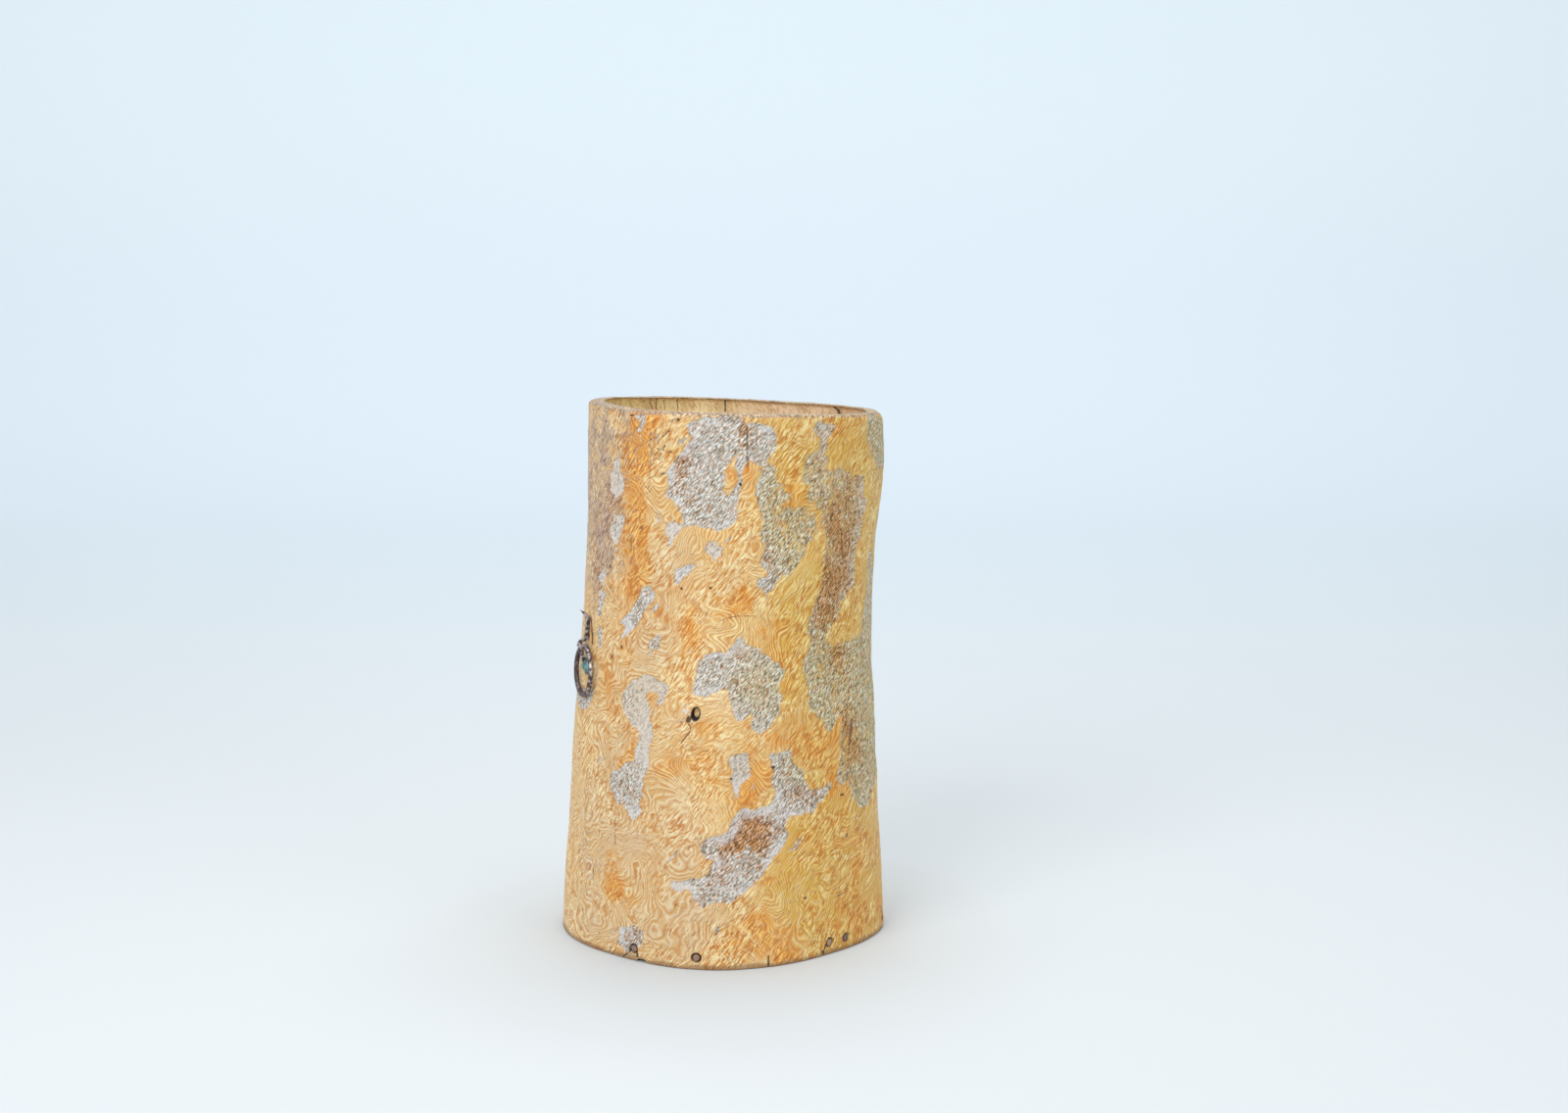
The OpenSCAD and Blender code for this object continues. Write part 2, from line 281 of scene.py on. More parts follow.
@dataclass(frozen=True)
class Sighting:
    """Finds the places on the trunk that the view's pixels show."""

    form: TrunkForm
    view: View
    nearest: float = 2.0
    farthest: float = 2.75
    steps: int = 1500
    past_edge: float = 3.0

    def find(self, pixels: Iterable[Pixel], side: Side = Side.OUTSIDE) -> np.ndarray:
        """Find the place on the wall under each pixel.

        A pixel past the outline lies further round the side, by its distance past the outline
        times past_edge.

        Args:
            pixels: pixels of the view.
            side: the outside of the near wall, or the inside of the far one.

        Returns:
            The places, one row each, in metres.
        """
        return np.array([self._find_one(pixel, side) for pixel in pixels])

    def _find_one(self, pixel: Pixel, side: Side) -> np.ndarray:
        """Find the place on the wall under one pixel."""
        reach = np.linspace(self.nearest, self.farthest, self.steps)[:, None]
        places = np.array(self.view.place) + reach * self.view.sight(pixel)
        azimuth = np.arctan2(places[:, 1], places[:, 0])
        off_axis = np.hypot(places[:, 0], places[:, 1])
        if side is Side.INSIDE:
            gap = off_axis - self.form.inner_radius(azimuth, places[:, 2])
            inside = np.flatnonzero(gap < 0)
            return places[inside[-1] if len(inside) else int(np.argmin(gap))]
        gap = off_axis - self.form.radius(azimuth, places[:, 2])
        inside = np.flatnonzero(gap <= 0)
        if len(inside):
            return places[inside[0]]
        graze = int(np.argmin(gap))
        place = places[graze]
        extra = gap[graze] * self.past_edge / self.form.arc_radius
        angle = azimuth[graze] + extra * (1 if place[0] > 0 else -1)
        out = self.form.radius(angle, place[2])
        return np.array([out * math.cos(angle), out * math.sin(angle), place[2]])


@dataclass(frozen=True)
class Patch:
    """A patch where the burl's figure is bare fibre, outlined in the view's pixels."""

    name: str
    outline: tuple[Pixel, ...]
    island: bool = False


@dataclass(frozen=True)
class Echo:
    """A front patch that comes back on the side that the view doesn't show."""

    source: str
    turn: float
    height: float
    upside_down: bool = False
    mirrored: bool = False
    size: float = 1.0


@dataclass(frozen=True)
class Blob:
    """A soft spot, as the view's pixels: its middle, its half width and height, its strength."""

    x: float
    y: float
    across: float
    up: float
    strength: float


PATCHES = (
    Patch("top_middle", (
        (706, 431), (719, 426), (741, 427), (756, 428), (764, 434), (764, 446), (763, 468),
        (760, 479), (756, 494), (754, 505), (752, 518), (750, 531), (741, 539), (728, 542),
        (717, 539), (706, 536), (697, 540), (688, 549), (683, 559), (682, 549), (679, 540),
        (685, 531), (695, 534), (695, 527), (691, 518), (685, 509), (678, 505), (682, 492),
        (682, 479), (688, 468), (699, 459), (706, 448), (703, 439))),
    Patch("top_leaf", (
        (754, 462), (752, 468), (751, 479), (752, 490), (748, 503), (741, 505), (739, 494),
        (738, 485), (741, 476), (749, 468)), island=True),
    Patch("upper_right", (
        (758, 431), (785, 435), (792, 443), (790, 457), (785, 468), (787, 481), (794, 492),
        (805, 501), (807, 509), (803, 516), (814, 520), (825, 517), (829, 531), (828, 549),
        (822, 567), (814, 578), (805, 586), (794, 593), (789, 604), (782, 607), (774, 600),
        (773, 592), (782, 589), (783, 582), (777, 575), (778, 564), (779, 553), (777, 540),
        (779, 529), (776, 518), (772, 509), (771, 501), (774, 492), (778, 483), (776, 477),
        (770, 474), (762, 470), (757, 459), (758, 446))),
    Patch("right_band", (
        (832, 434), (843, 432), (854, 435), (848, 444), (843, 459), (842, 468), (849, 482),
        (858, 476), (870, 481), (883, 490), (884, 512), (881, 536), (877, 558), (873, 575),
        (873, 593), (866, 606), (858, 617), (858, 628), (849, 639), (846, 655), (851, 663),
        (862, 657), (877, 648), (891, 640), (900, 660), (900, 700), (899, 745), (900, 774),
        (893, 800), (887, 820), (880, 823), (870, 813), (866, 800), (855, 798), (857, 787),
        (860, 776), (859, 763), (859, 743), (857, 733), (849, 742), (838, 735), (829, 727),
        (825, 714), (825, 703), (821, 690), (818, 679), (827, 657), (826, 641), (827, 628),
        (832, 615), (837, 597), (839, 578), (843, 562), (843, 536), (841, 520), (832, 515),
        (825, 512), (823, 498), (821, 483), (823, 465), (833, 461), (837, 450))),
    Patch("middle", (
        (756, 652), (767, 659), (781, 668), (794, 679), (800, 688), (797, 697), (796, 703),
        (797, 716), (792, 732), (785, 743), (778, 750), (771, 749), (766, 741), (765, 731),
        (756, 736), (748, 730), (745, 716), (744, 705), (739, 704), (728, 708), (719, 714),
        (710, 711), (706, 703), (709, 690), (710, 685), (715, 672), (719, 667), (732, 665),
        (741, 667), (748, 661))),
    Patch("left_hook", (
        (653, 691), (666, 691), (675, 696), (682, 701), (679, 710), (673, 723), (668, 719),
        (671, 710), (664, 706), (660, 710), (663, 723), (664, 732), (667, 747), (665, 758),
        (662, 767), (662, 782), (657, 793), (655, 807), (652, 822), (653, 829), (645, 838),
        (641, 831), (638, 822), (629, 818), (623, 804), (624, 793), (633, 785), (641, 778),
        (648, 778), (649, 763), (652, 749), (646, 738), (639, 730), (636, 716), (640, 703))),
    Patch("lower_middle", (
        (785, 771), (796, 769), (807, 767), (809, 778), (818, 785), (822, 796), (825, 807),
        (838, 804), (847, 797), (845, 807), (838, 818), (829, 829), (818, 831), (807, 833),
        (803, 842), (801, 857), (792, 873), (783, 886), (774, 897), (763, 908), (752, 914),
        (745, 920), (730, 922), (717, 926), (709, 919), (706, 912), (695, 908), (688, 910),
        (684, 901), (699, 899), (706, 896), (719, 893), (723, 886), (729, 879), (723, 877),
        (717, 870), (715, 862), (721, 856), (730, 855), (739, 853), (745, 846), (749, 835),
        (756, 826), (767, 827), (778, 824), (787, 820), (792, 809), (787, 798), (789, 787))),
    Patch("lower_small", (
        (746, 771), (756, 769), (763, 772), (764, 782), (766, 793), (759, 799), (756, 804),
        (754, 813), (750, 818), (749, 807), (745, 798), (748, 787), (745, 778))),
    Patch("drop", (
        (719, 558), (723, 554), (730, 554), (737, 559), (735, 564), (730, 572), (727, 567),
        (721, 563))),
    Patch("leaf", (
        (686, 586), (690, 582), (699, 579), (708, 575), (706, 582), (697, 591), (690, 596),
        (688, 592))),
    Patch("left_slant", (
        (661, 598), (667, 604), (668, 612), (662, 617), (658, 624), (652, 635), (649, 641),
        (640, 648), (631, 653), (638, 639), (633, 635), (641, 626), (647, 619), (652, 609),
        (655, 603))),
    Patch("left_thin", ((671, 616), (673, 619), (666, 627), (662, 630), (663, 625))),
    Patch("left_spot", (
        (663, 657), (668, 652), (676, 649), (675, 655), (671, 662), (664, 663))),
    Patch("top_left_drip", (
        (647, 424), (658, 422), (658, 432), (655, 441), (654, 448), (651, 447), (650, 437),
        (652, 431))),
    Patch("left_sliver_high", (
        (614, 575), (618, 582), (616, 591), (613, 596), (610, 589), (612, 580))),
    Patch("left_sliver_low", (
        (611, 603), (617, 605), (615, 617), (613, 628), (610, 626), (611, 613))),
    Patch("left_sliver_foot", ((610, 642), (614, 640), (614, 655), (611, 660))),
    Patch("left_chip_high", (
        (628, 463), (633, 472), (631, 479), (636, 492), (636, 501), (629, 509), (624, 501),
        (623, 487), (625, 476))),
    Patch("left_chip_low", (
        (627, 525), (636, 527), (635, 538), (631, 549), (629, 558), (624, 553), (623, 540),
        (625, 531))),
    Patch("mid_sliver", ((673, 525), (674, 528), (672, 534), (670, 532))),
    Patch("peg_patch", (
        (634, 946), (642, 945), (653, 948), (656, 954), (655, 963), (649, 965), (643, 969),
        (638, 970), (631, 963), (632, 954))),
    Patch("right_edge_high", (
        (888, 424), (897, 424), (902, 440), (904, 462), (899, 477), (891, 464), (886, 445))),
    Patch("right_edge_low", (
        (888, 560), (893, 590), (895, 622), (893, 652), (883, 650), (880, 628), (885, 598))),
    Patch("under_ring", (
        (589, 704), (597, 702), (606, 705), (604, 716), (598, 724), (591, 722))),
)

ECHOES = (
    Echo("upper_right", 118, 0.300),
    Echo("lower_middle", 150, 0.150, mirrored=True),
    Echo("middle", -150, 0.285, upside_down=True),
    Echo("top_middle", -112, 0.130, upside_down=True, size=0.8),
    Echo("left_hook", 178, 0.300, mirrored=True),
    Echo("leaf", -172, 0.200, size=1.6),
    Echo("drop", 128, 0.200, size=1.4),
    Echo("left_slant", -132, 0.215, mirrored=True),
    Echo("lower_small", -165, 0.105, upside_down=True, size=1.2),
    Echo("left_thin", 100, 0.075, size=2.0),
    Echo("middle", 108, 0.090, mirrored=True, size=0.6),
    Echo("left_chip_low", -98, 0.330, size=1.4),
    Echo("top_left_drip", -128, 0.365, size=1.5),
)

# Soft spots: brown stains in the bare patches, then the wood's tone, positive where it is darker
STAINS = (
    Blob(853, 545, 8, 60, 0.8), Blob(842, 636, 8, 24, 0.8),
    Blob(760, 441, 6, 15, 1.5), Blob(790, 565, 14, 18, 0.45), Blob(798, 535, 8, 10, 0.5),
    Blob(866, 470, 22, 30, 1.2), Blob(868, 515, 20, 44, 1.4), Blob(856, 575, 16, 44, 1.5),
    Blob(846, 628, 12, 38, 1.6), Blob(855, 668, 10, 13, 1.7), Blob(862, 690, 12, 18, 0.5),
    Blob(869, 752, 9, 28, 2.0), Blob(835, 470, 10, 26, 0.4), Blob(762, 850, 26, 28, 2.3),
    Blob(748, 862, 20, 14, 1.5), Blob(824, 800, 12, 16, 1.3), Blob(752, 668, 24, 10, 0.7),
    Blob(765, 700, 24, 22, 0.3), Blob(641, 805, 12, 16, 0.45), Blob(725, 892, 24, 12, 0.55),
    Blob(645, 955, 10, 12, 0.7), Blob(692, 500, 8, 26, 0.5), Blob(697, 468, 12, 14, 0.8), Blob(880, 770, 10, 22, 0.6),
)
TONES = (
    Blob(655, 440, 16, 40, 1.2), Blob(648, 500, 13, 40, 1.3), Blob(648, 575, 16, 34, 1.3),
    Blob(640, 640, 12, 30, 0.5), Blob(812, 470, 14, 40, 0.7), Blob(668, 420, 18, 10, 0.4),
    Blob(620, 725, 12, 34, 0.8), Blob(645, 752, 10, 26, 0.5), Blob(850, 765, 22, 44, 0.8),
    Blob(870, 435, 20, 18, 0.6), Blob(700, 645, 26, 22, 0.45), Blob(690, 600, 22, 20, 0.25),
    Blob(750, 615, 14, 14, 0.6), Blob(800, 695, 14, 40, 0.4), Blob(800, 745, 20, 20, 0.8),
    Blob(760, 800, 22, 22, 0.6), Blob(780, 750, 18, 12, 0.4), Blob(628, 850, 12, 40, 0.5),
    Blob(625, 910, 14, 14, 0.6), Blob(845, 850, 26, 20, 0.6), Blob(880, 870, 16, 40, 0.6),
    Blob(850, 935, 40, 24, 0.3), Blob(790, 945, 16, 14, 0.4), Blob(610, 610, 8, 40, 0.5),
    Blob(730, 592, 30, 20, -0.25), Blob(655, 895, 34, 40, -0.08), Blob(720, 945, 60, 26, -0.20),
    Blob(781, 620, 12, 9, -1.0), Blob(742, 712, 24, 14, -0.7), Blob(700, 830, 30, 40, -0.2),
    Blob(612, 790, 8, 20, -0.2), Blob(800, 640, 12, 24, 0.1), Blob(893, 512, 6, 54, -0.4),
)
GOLDEN = (
    Blob(880, 620, 40, 280, 0.95), Blob(860, 900, 60, 90, 0.75), Blob(810, 650, 30, 90, 0.55),
    Blob(800, 480, 30, 60, 0.40), Blob(752, 640, 22, 30, 0.35), Blob(755, 790, 26, 40, 0.35),
    Blob(825, 850, 34, 40, 0.45), Blob(870, 432, 30, 20, 0.50), Blob(780, 430, 40, 10, 0.40),
    Blob(620, 800, 44, 260, -0.60), Blob(690, 880, 60, 70, -0.60), Blob(700, 575, 40, 40, -0.50),
    Blob(610, 500, 18, 110, -0.60), Blob(668, 640, 26, 40, -0.35), Blob(705, 950, 70, 30, -0.40),
)
WEATHERED = (
    Blob(604, 470, 22, 80, 1.0), Blob(622, 500, 12, 70, 0.55), Blob(606, 600, 8, 60, 0.4),
    Blob(720, 600, 50, 40, 0.15), Blob(600, 880, 14, 60, 0.4), Blob(899, 450, 9, 36, 0.7),
    Blob(735, 940, 80, 30, 0.15), Blob(610, 560, 12, 40, 0.7), Blob(641, 430, 8, 16, 0.5),
    Blob(670, 455, 12, 20, 0.45), Blob(890, 690, 12, 110, 0.45), Blob(700, 418, 60, 6, 0.4),
    Blob(897, 585, 4, 130, 1.0),
)
OLIVE = (
    Blob(800, 520, 30, 70, 0.75), Blob(850, 520, 40, 90, 1.0), Blob(860, 690, 44, 80, 1.0),
    Blob(885, 770, 24, 60, 1.1), Blob(740, 500, 30, 50, 0.30), Blob(765, 700, 34, 40, 0.45),
    Blob(740, 890, 50, 40, 0.10), Blob(812, 785, 24, 24, 0.35), Blob(898, 560, 12, 160, 0.9),
    Blob(896, 446, 9, 26, 1.0),
)
FADED = (
    Blob(665, 700, 24, 14, 0.55), Blob(650, 720, 14, 30, 0.40), Blob(657, 760, 12, 28, 0.35),
    Blob(728, 562, 14, 10, 0.35), Blob(755, 785, 14, 24, 0.40), Blob(850, 470, 20, 40, 0.25),
    Blob(626, 500, 12, 40, 0.45), Blob(690, 545, 14, 14, 0.30), Blob(690, 905, 14, 8, 0.30),
    Blob(886, 515, 8, 38, 0.35), Blob(881, 600, 8, 30, 0.25), Blob(763, 640, 12, 40, 0.45),
)
EYES = (
    Blob(749, 594, 12, 10, 0.32), Blob(734, 651, 22, 9, 0.30), Blob(654, 877, 18, 18, 0.42),
    Blob(700, 867, 10, 14, 0.26), Blob(721, 828, 14, 12, 0.26), Blob(891, 871, 5, 7, 0.26),
    Blob(801, 462, 20, 24, 0.40), Blob(845, 838, 16, 14, 0.28), Blob(640, 520, 12, 26, 0.26),
    Blob(812, 900, 26, 22, 0.34), Blob(770, 940, 30, 16, 0.30), Blob(700, 790, 26, 22, 0.26),
)
HOLLOWS = (
    Blob(866, 540, 15, 90, -0.0020), Blob(851, 690, 14, 60, -0.0015), Blob(842, 640, 7, 120, 0.0008),
    Blob(640, 520, 16, 90, -0.0010), Blob(660, 660, 22, 60, 0.0008),
)


class Ink(Enum):
    """What a mark in the wood shows: its screen colour, and its depth as a share. DARK is painted shade in cracks and
    small holes, and the nail's painted shadow; the other inks are the marks' own colours.
    """

    # painted shade: this ink darkens cracks and holes as their shade would
    DARK = (50, 34, 28, 1.0)
    BROWN = (126, 82, 48, 0.6)
    PALE = (224, 212, 200, 0.1)
    GREY = (166, 152, 138, 0.1)
    FAINT = (84, 70, 50, 0.25)
    GREEN = (110, 128, 84, 0.1)

    @property
    def paint(self) -> Colour:
        """The linear colour, with the depth in place of alpha."""
        red, green, blue, depth = self.value
        return (*srgb(red, green, blue)[:3], depth)


@dataclass(frozen=True)
class Mark:
    """A crack, scratch, small hole or painted shadow: the view's pixels that it runs through, and its half width."""

    path: tuple[Pixel, ...]
    half_width: float
    ink: Ink = Ink.DARK
    side: Side = Side.OUTSIDE
    falls: float = 0.0


@dataclass(frozen=True)
class HiddenMark:
    """A crack or a hole on the side that the view doesn't show, by turn and height."""

    turn: float
    top: float
    bottom: float
    lean: float = 0.0
    half_width: float = 0.0006
    ink: Ink = Ink.DARK


MARKS = (
    Mark(((762.4, 436), (762.9, 476)), 0.0006, Ink.FAINT),
    Mark(((755.5, 494.0), (755.6, 494.6)), 0.0012),
    Mark(((690.6, 429.2), (693.2, 428.6)), 0.0010), Mark(((683.5, 430), (690, 429.5)), 0.0006, Ink.FAINT),
    Mark(((671.5, 458), (678, 459), (686, 461.5)), 0.0007, Ink.FAINT),
    Mark(((679.5, 454.5), (676, 461), (673, 468.5)), 0.0007, Ink.FAINT),
    Mark(((684, 439), (676.5, 445.5)), 0.0007, Ink.FAINT),
    Mark(((663.1, 487.8), (680.2, 482.3)), 0.0006, Ink.FAINT),
    Mark(((653.5, 493.5), (659.5, 497.5)), 0.0005, Ink.FAINT),
    Mark(((695, 452), (699, 449)), 0.0026, Ink.GREY),
    Mark(((643, 423.5), (646, 423.5)), 0.0008),
    Mark(((732, 635), (741, 631), (752, 629), (770, 629)), 0.0003, Ink.FAINT),
    Mark(((622, 577), (622, 579)), 0.0008), Mark(((695, 601), (695.5, 601.5)), 0.0008),
    Mark(((725, 600), (725.5, 600.5)), 0.0008), Mark(((635, 659), (635, 661)), 0.0008),
    Mark(((858, 811), (860.5, 811)), 0.0009), Mark(((864, 851), (864, 853)), 0.0009),
    Mark(((788, 783), (790, 783.5)), 0.0012), Mark(((786.5, 781), (792, 781)), 0.0008, Ink.PALE),
    Mark(((746, 795), (746.5, 795.5)), 0.0008), Mark(((821, 916), (821.5, 917)), 0.0009),
    Mark(((643, 547), (643, 562)), 0.0009, Ink.GREEN),
    Mark(((855.5, 914.8), (861.6, 911.2), (865.7, 903)), 0.0006, Ink.BROWN),
    Mark(((866.5, 507), (866.5, 526)), 0.0007, Ink.BROWN),
    Mark(((861.5, 540), (862.5, 572)), 0.0005, Ink.BROWN),
    Mark(((870.5, 735), (868.5, 760)), 0.0016, Ink.BROWN),
    Mark(((702.5, 738), (704.8, 742), (704.4, 746), (701.3, 750), (695.4, 758)), 0.0005, Ink.BROWN),
    Mark(((697.6, 725.2), (705.4, 726.6)), 0.0018, Ink.PALE), Mark(((707.5, 730.6), (704.2, 732.6)), 0.0009),
    Mark(((701.4, 733.6), (703, 732.2), (704.6, 734), (703.6, 736.4), (701.7, 736), (701.4, 733.6)),
         0.0012),
    # Painted shadow: this dark mark along the nail's right side stands for the shadow that the nail casts on the
    # wall.
    Mark(((603.2, 631), (603.8, 640), (604.8, 648), (604.4, 656)), 0.0015),
    Mark(((624.6, 671), (625, 669.6)), 0.0008),
    Mark(((636.7, 975.8), (641.1, 972.6)), 0.0006),
    Mark(((642.6, 971), (645.6, 965.6), (649.4, 969.4), (651.3, 977.1)), 0.0009),
    Mark(((784, 976), (784.3, 986)), 0.0006),
    Mark(((845.6, 957.5), (843.6, 962), (840.4, 970.5)), 0.0007),
    Mark(((839.7, 971), (839.7, 973)), 0.0011),
    Mark(((899, 924.5), (899, 931.6)), 0.0007),
    Mark(((743, 667), (743.5, 670)), 0.0016, Ink.PALE),
    Mark(((605, 880), (606, 900)), 0.0004, Ink.FAINT),
    Mark(((627, 835), (627.5, 862)), 0.0004, Ink.FAINT),
    Mark(((666.5, 405), (665.8, 411), (666.8, 418)), 0.0007, Ink.BROWN, Side.INSIDE, 0.110),
    Mark(((671, 405), (671.7, 411), (670.6, 418)), 0.0007, Ink.BROWN, Side.INSIDE, 0.150),
    Mark(((679.5, 405), (679.5, 418)), 0.0004, Ink.BROWN, Side.INSIDE, 0.050),
    Mark(((692.5, 405), (692.5, 418)), 0.0005, Ink.BROWN, Side.INSIDE, 0.080),
    Mark(((740, 404), (740, 420)), 0.0007, Ink.DARK, Side.INSIDE, 0.230),
    Mark(((847.6, 414.0), (851, 419), (856.0, 425)), 0.0015, Ink.DARK, Side.INSIDE, 0.030),
)

HIDDEN_MARKS = (
    HiddenMark(158, 0.390, 0.292, 0.004), HiddenMark(171, 0.388, 0.345, -0.002, 0.0004),
    HiddenMark(-141, 0.385, 0.330, 0.003, 0.0005), HiddenMark(112, 0.036, 0.004, 0.002, 0.0006),
    HiddenMark(-160, 0.060, 0.002, -0.002, 0.0007), HiddenMark(-118, 0.262, 0.258, 0, 0.0010),
    HiddenMark(134, 0.241, 0.240, 0, 0.0012), HiddenMark(-175, 0.118, 0.116, 0, 0.0011),
    HiddenMark(148, 0.071, 0.069, 0, 0.0009), HiddenMark(-104, 0.151, 0.128, 0.003, 0.0005, Ink.BROWN),
    HiddenMark(124, 0.322, 0.300, 0.004, 0.0005, Ink.BROWN), HiddenMark(98, 0.207, 0.204, 0, 0.0009),
)


class Kind(Enum):
    """What an input or output of a shared effect carries."""

    VALUE = "NodeSocketFloat"
    VECTOR = "NodeSocketVector"
    COLOUR = "NodeSocketColor"


class Sheet:
    """A node tree, with short calls that add nodes to it and join them."""

    def __init__(self, tree: bpy.types.NodeTree) -> None:
        """Start work on a tree."""
        self.tree = tree

    def add(self, kind: str, **settings: object) -> bpy.types.Node:
        """Add a node and set its properties by name."""
        node = self.tree.nodes.new(kind)
        for name, value in settings.items():
            setattr(node, name, value)
        return node

    def feed(self, goal: Socket, value: object) -> None:
        """Give an input a value: a socket is joined to it, anything else is set on it."""
        if isinstance(value, bpy.types.NodeSocket):
            self.tree.links.new(value, goal)
        elif value is not None:
            goal.default_value = value

    def math(self, operation: str, first: object, second: object = None,
             third: object = None, clamp: bool = False) -> Socket:
        """Work out a value from up to three others."""
        node = self.add("ShaderNodeMath", operation=operation, use_clamp=clamp)
        for goal, value in zip(node.inputs, (first, second, third)):
            self.feed(goal, value)
        return node.outputs[0]

    def vector(self, operation: str, first: object, second: object = None,
               scale: object = None) -> bpy.types.Node:
        """Work out a vector or a value from vectors."""
        node = self.add("ShaderNodeVectorMath", operation=operation)
        self.feed(node.inputs[0], first)
        self.feed(node.inputs[1], second)
        if scale is not None:
            self.feed(node.inputs["Scale"], scale)
        return node

    def noise(self, place: Socket, scale: float, detail: float = 2.0, roughness: float = 0.5,
              fourth: object = None) -> bpy.types.Node:
        """Add smooth noise; with a fourth coordinate it also changes along that."""
        node = self.add("ShaderNodeTexNoise", noise_dimensions="3D" if fourth is None else "4D")
        self.feed(node.inputs["Vector"], place)
        if fourth is not None:
            self.feed(node.inputs["W"], fourth)
        for name, value in (("Scale", scale), ("Detail", detail), ("Roughness", roughness)):
            node.inputs[name].default_value = value
        return node

    def between(self, value: object, low: float, high: float, at_low: float = 0.0,
                at_high: float = 1.0) -> Socket:
        """Run smoothly from one value to another while an input goes from low to high."""
        node = self.add("ShaderNodeMapRange", interpolation_type="SMOOTHSTEP")
        for goal, number in zip(node.inputs, (value, low, high, at_low, at_high)):
            self.feed(goal, number)
        return node.outputs[0]

    def mix(self, share: object, first: object, second: object, blend: str = "MIX") -> Socket:
        """Mix two colours; a share of 1 gives the second."""
        node = self.add("ShaderNodeMix", data_type="RGBA", blend_type=blend, clamp_factor=True)
        for index, value in ((0, share), (6, first), (7, second)):
            self.feed(node.inputs[index], value)
        return node.outputs[2]

    def painted(self, name: str) -> Socket:
        """Read a value that the piece's mesh carries."""
        return self.add("ShaderNodeAttribute", attribute_name=name).outputs["Fac"]

    def place(self) -> Socket:
        """Read the place in the piece's own coordinates, in metres."""
        return self.add("ShaderNodeTexCoord").outputs["Object"]

    def parts(self, vector: Socket) -> tuple[Socket, Socket, Socket]:
        """Take a vector apart."""
        node = self.add("ShaderNodeSeparateXYZ")
        self.feed(node.inputs[0], vector)
        return node.outputs[0], node.outputs[1], node.outputs[2]

    def join(self, first: object, second: object, third: object = 0.0) -> Socket:
        """Put a vector together."""
        node = self.add("ShaderNodeCombineXYZ")
        for goal, value in zip(node.inputs, (first, second, third)):
            self.feed(goal, value)
        return node.outputs[0]

    def sum(self, values: Sequence[Socket]) -> Socket:
        """Add values up."""
        total = values[0]
        for value in values[1:]:
            total = self.math("ADD", total, value)
        return total

    def effect(self, tree: bpy.types.NodeTree, **inputs: object) -> bpy.types.Node:
        """Place a shared effect with its own values."""
        node = self.add("ShaderNodeGroup", node_tree=tree)
        for name, value in inputs.items():
            self.feed(node.inputs[name], value)
        return node


class SharedEffect:
    """An effect that several materials use, kept as one node group that is built once."""

    title = ""
    takes: dict[str, Kind] = {}
    gives: dict[str, Kind] = {}

    @classmethod
    def group(cls) -> bpy.types.NodeTree:
        """Find the effect's node group, or build it."""
        if cls.title in bpy.data.node_groups:
            return bpy.data.node_groups[cls.title]
        tree = bpy.data.node_groups.new(cls.title, "ShaderNodeTree")
        for name, kind in cls.takes.items():
            tree.interface.new_socket(name, in_out="INPUT", socket_type=kind.value)
        for name, kind in cls.gives.items():
            tree.interface.new_socket(name, in_out="OUTPUT", socket_type=kind.value)
        sheet = Sheet(tree)
        given = sheet.add("NodeGroupInput").outputs
        results = cls.work(sheet, {name: given[name] for name in cls.takes})
        ends = sheet.add("NodeGroupOutput").inputs
        for name, value in results.items():
            sheet.feed(ends[name], value)
        return tree

    @classmethod
    def work(cls, sheet: Sheet, given: dict[str, Socket]) -> dict[str, Socket]:
        """Build the effect's nodes.

        Args:
            sheet: the group's tree.
            given: the group's inputs by name.

        Returns:
            What each output of the group takes.
        """
        raise NotImplementedError


class WoodFibres(SharedEffect):
    """Long fibres that run up the wood, leaning a little, with pores among them."""

    title = "wood_fibres"
    takes = {"Place": Kind.VECTOR, "Lean": Kind.VALUE}
    gives = {"Fibres": Kind.VALUE, "Bands": Kind.VALUE, "Pores": Kind.VALUE, "Height": Kind.VALUE}

    @classmethod
    def work(cls, sheet: Sheet, given: dict[str, Socket]) -> dict[str, Socket]:
        """Build stretched noise on a place that is twisted round the upright."""
        up = sheet.parts(given["Place"])[2]
        twist = sheet.add("ShaderNodeVectorRotate", rotation_type="Z_AXIS")
        sheet.feed(twist.inputs["Vector"], given["Place"])
        sheet.feed(twist.inputs["Angle"], sheet.math("MULTIPLY", up, given["Lean"]))
        drawn = sheet.vector("MULTIPLY", twist.outputs[0], (1.0, 1.0, 0.045)).outputs[0]
        fibres = sheet.noise(drawn, 900.0, 3.0, 0.6).outputs[0]
        bands = sheet.noise(drawn, 190.0, 2.0, 0.5).outputs[0]
        short = sheet.vector("MULTIPLY", twist.outputs[0], (1.0, 1.0, 0.11)).outputs[0]
        pores = sheet.between(sheet.noise(short, 1500.0, 1.0).outputs[0], 0.63, 0.72)
        height = sheet.math("MULTIPLY_ADD", fibres, 0.00016, sheet.math("MULTIPLY", pores, -0.00016))
        return {"Fibres": fibres, "Bands": bands, "Pores": pores, "Height": height}


class OldDirt(SharedEffect):
    """Blotches of old dirt in soft clouds with a broken edge."""

    title = "old_dirt"
    takes = {"Place": Kind.VECTOR, "Amount": Kind.VALUE}
    gives = {"Mask": Kind.VALUE}

    @classmethod
    def work(cls, sheet: Sheet, given: dict[str, Socket]) -> dict[str, Socket]:
        """Build two sizes of cloud and let the amount move their edge."""
        clouds = sheet.noise(given["Place"], 38.0, 4.0, 0.65).outputs[0]
        crumbs = sheet.noise(given["Place"], 520.0, 2.0, 0.6).outputs[0]
        level = sheet.sum([clouds, sheet.math("MULTIPLY", crumbs, 0.35),
                           sheet.math("MULTIPLY", given["Amount"], 0.5)])
        return {"Mask": sheet.between(level, 0.82, 1.08)}


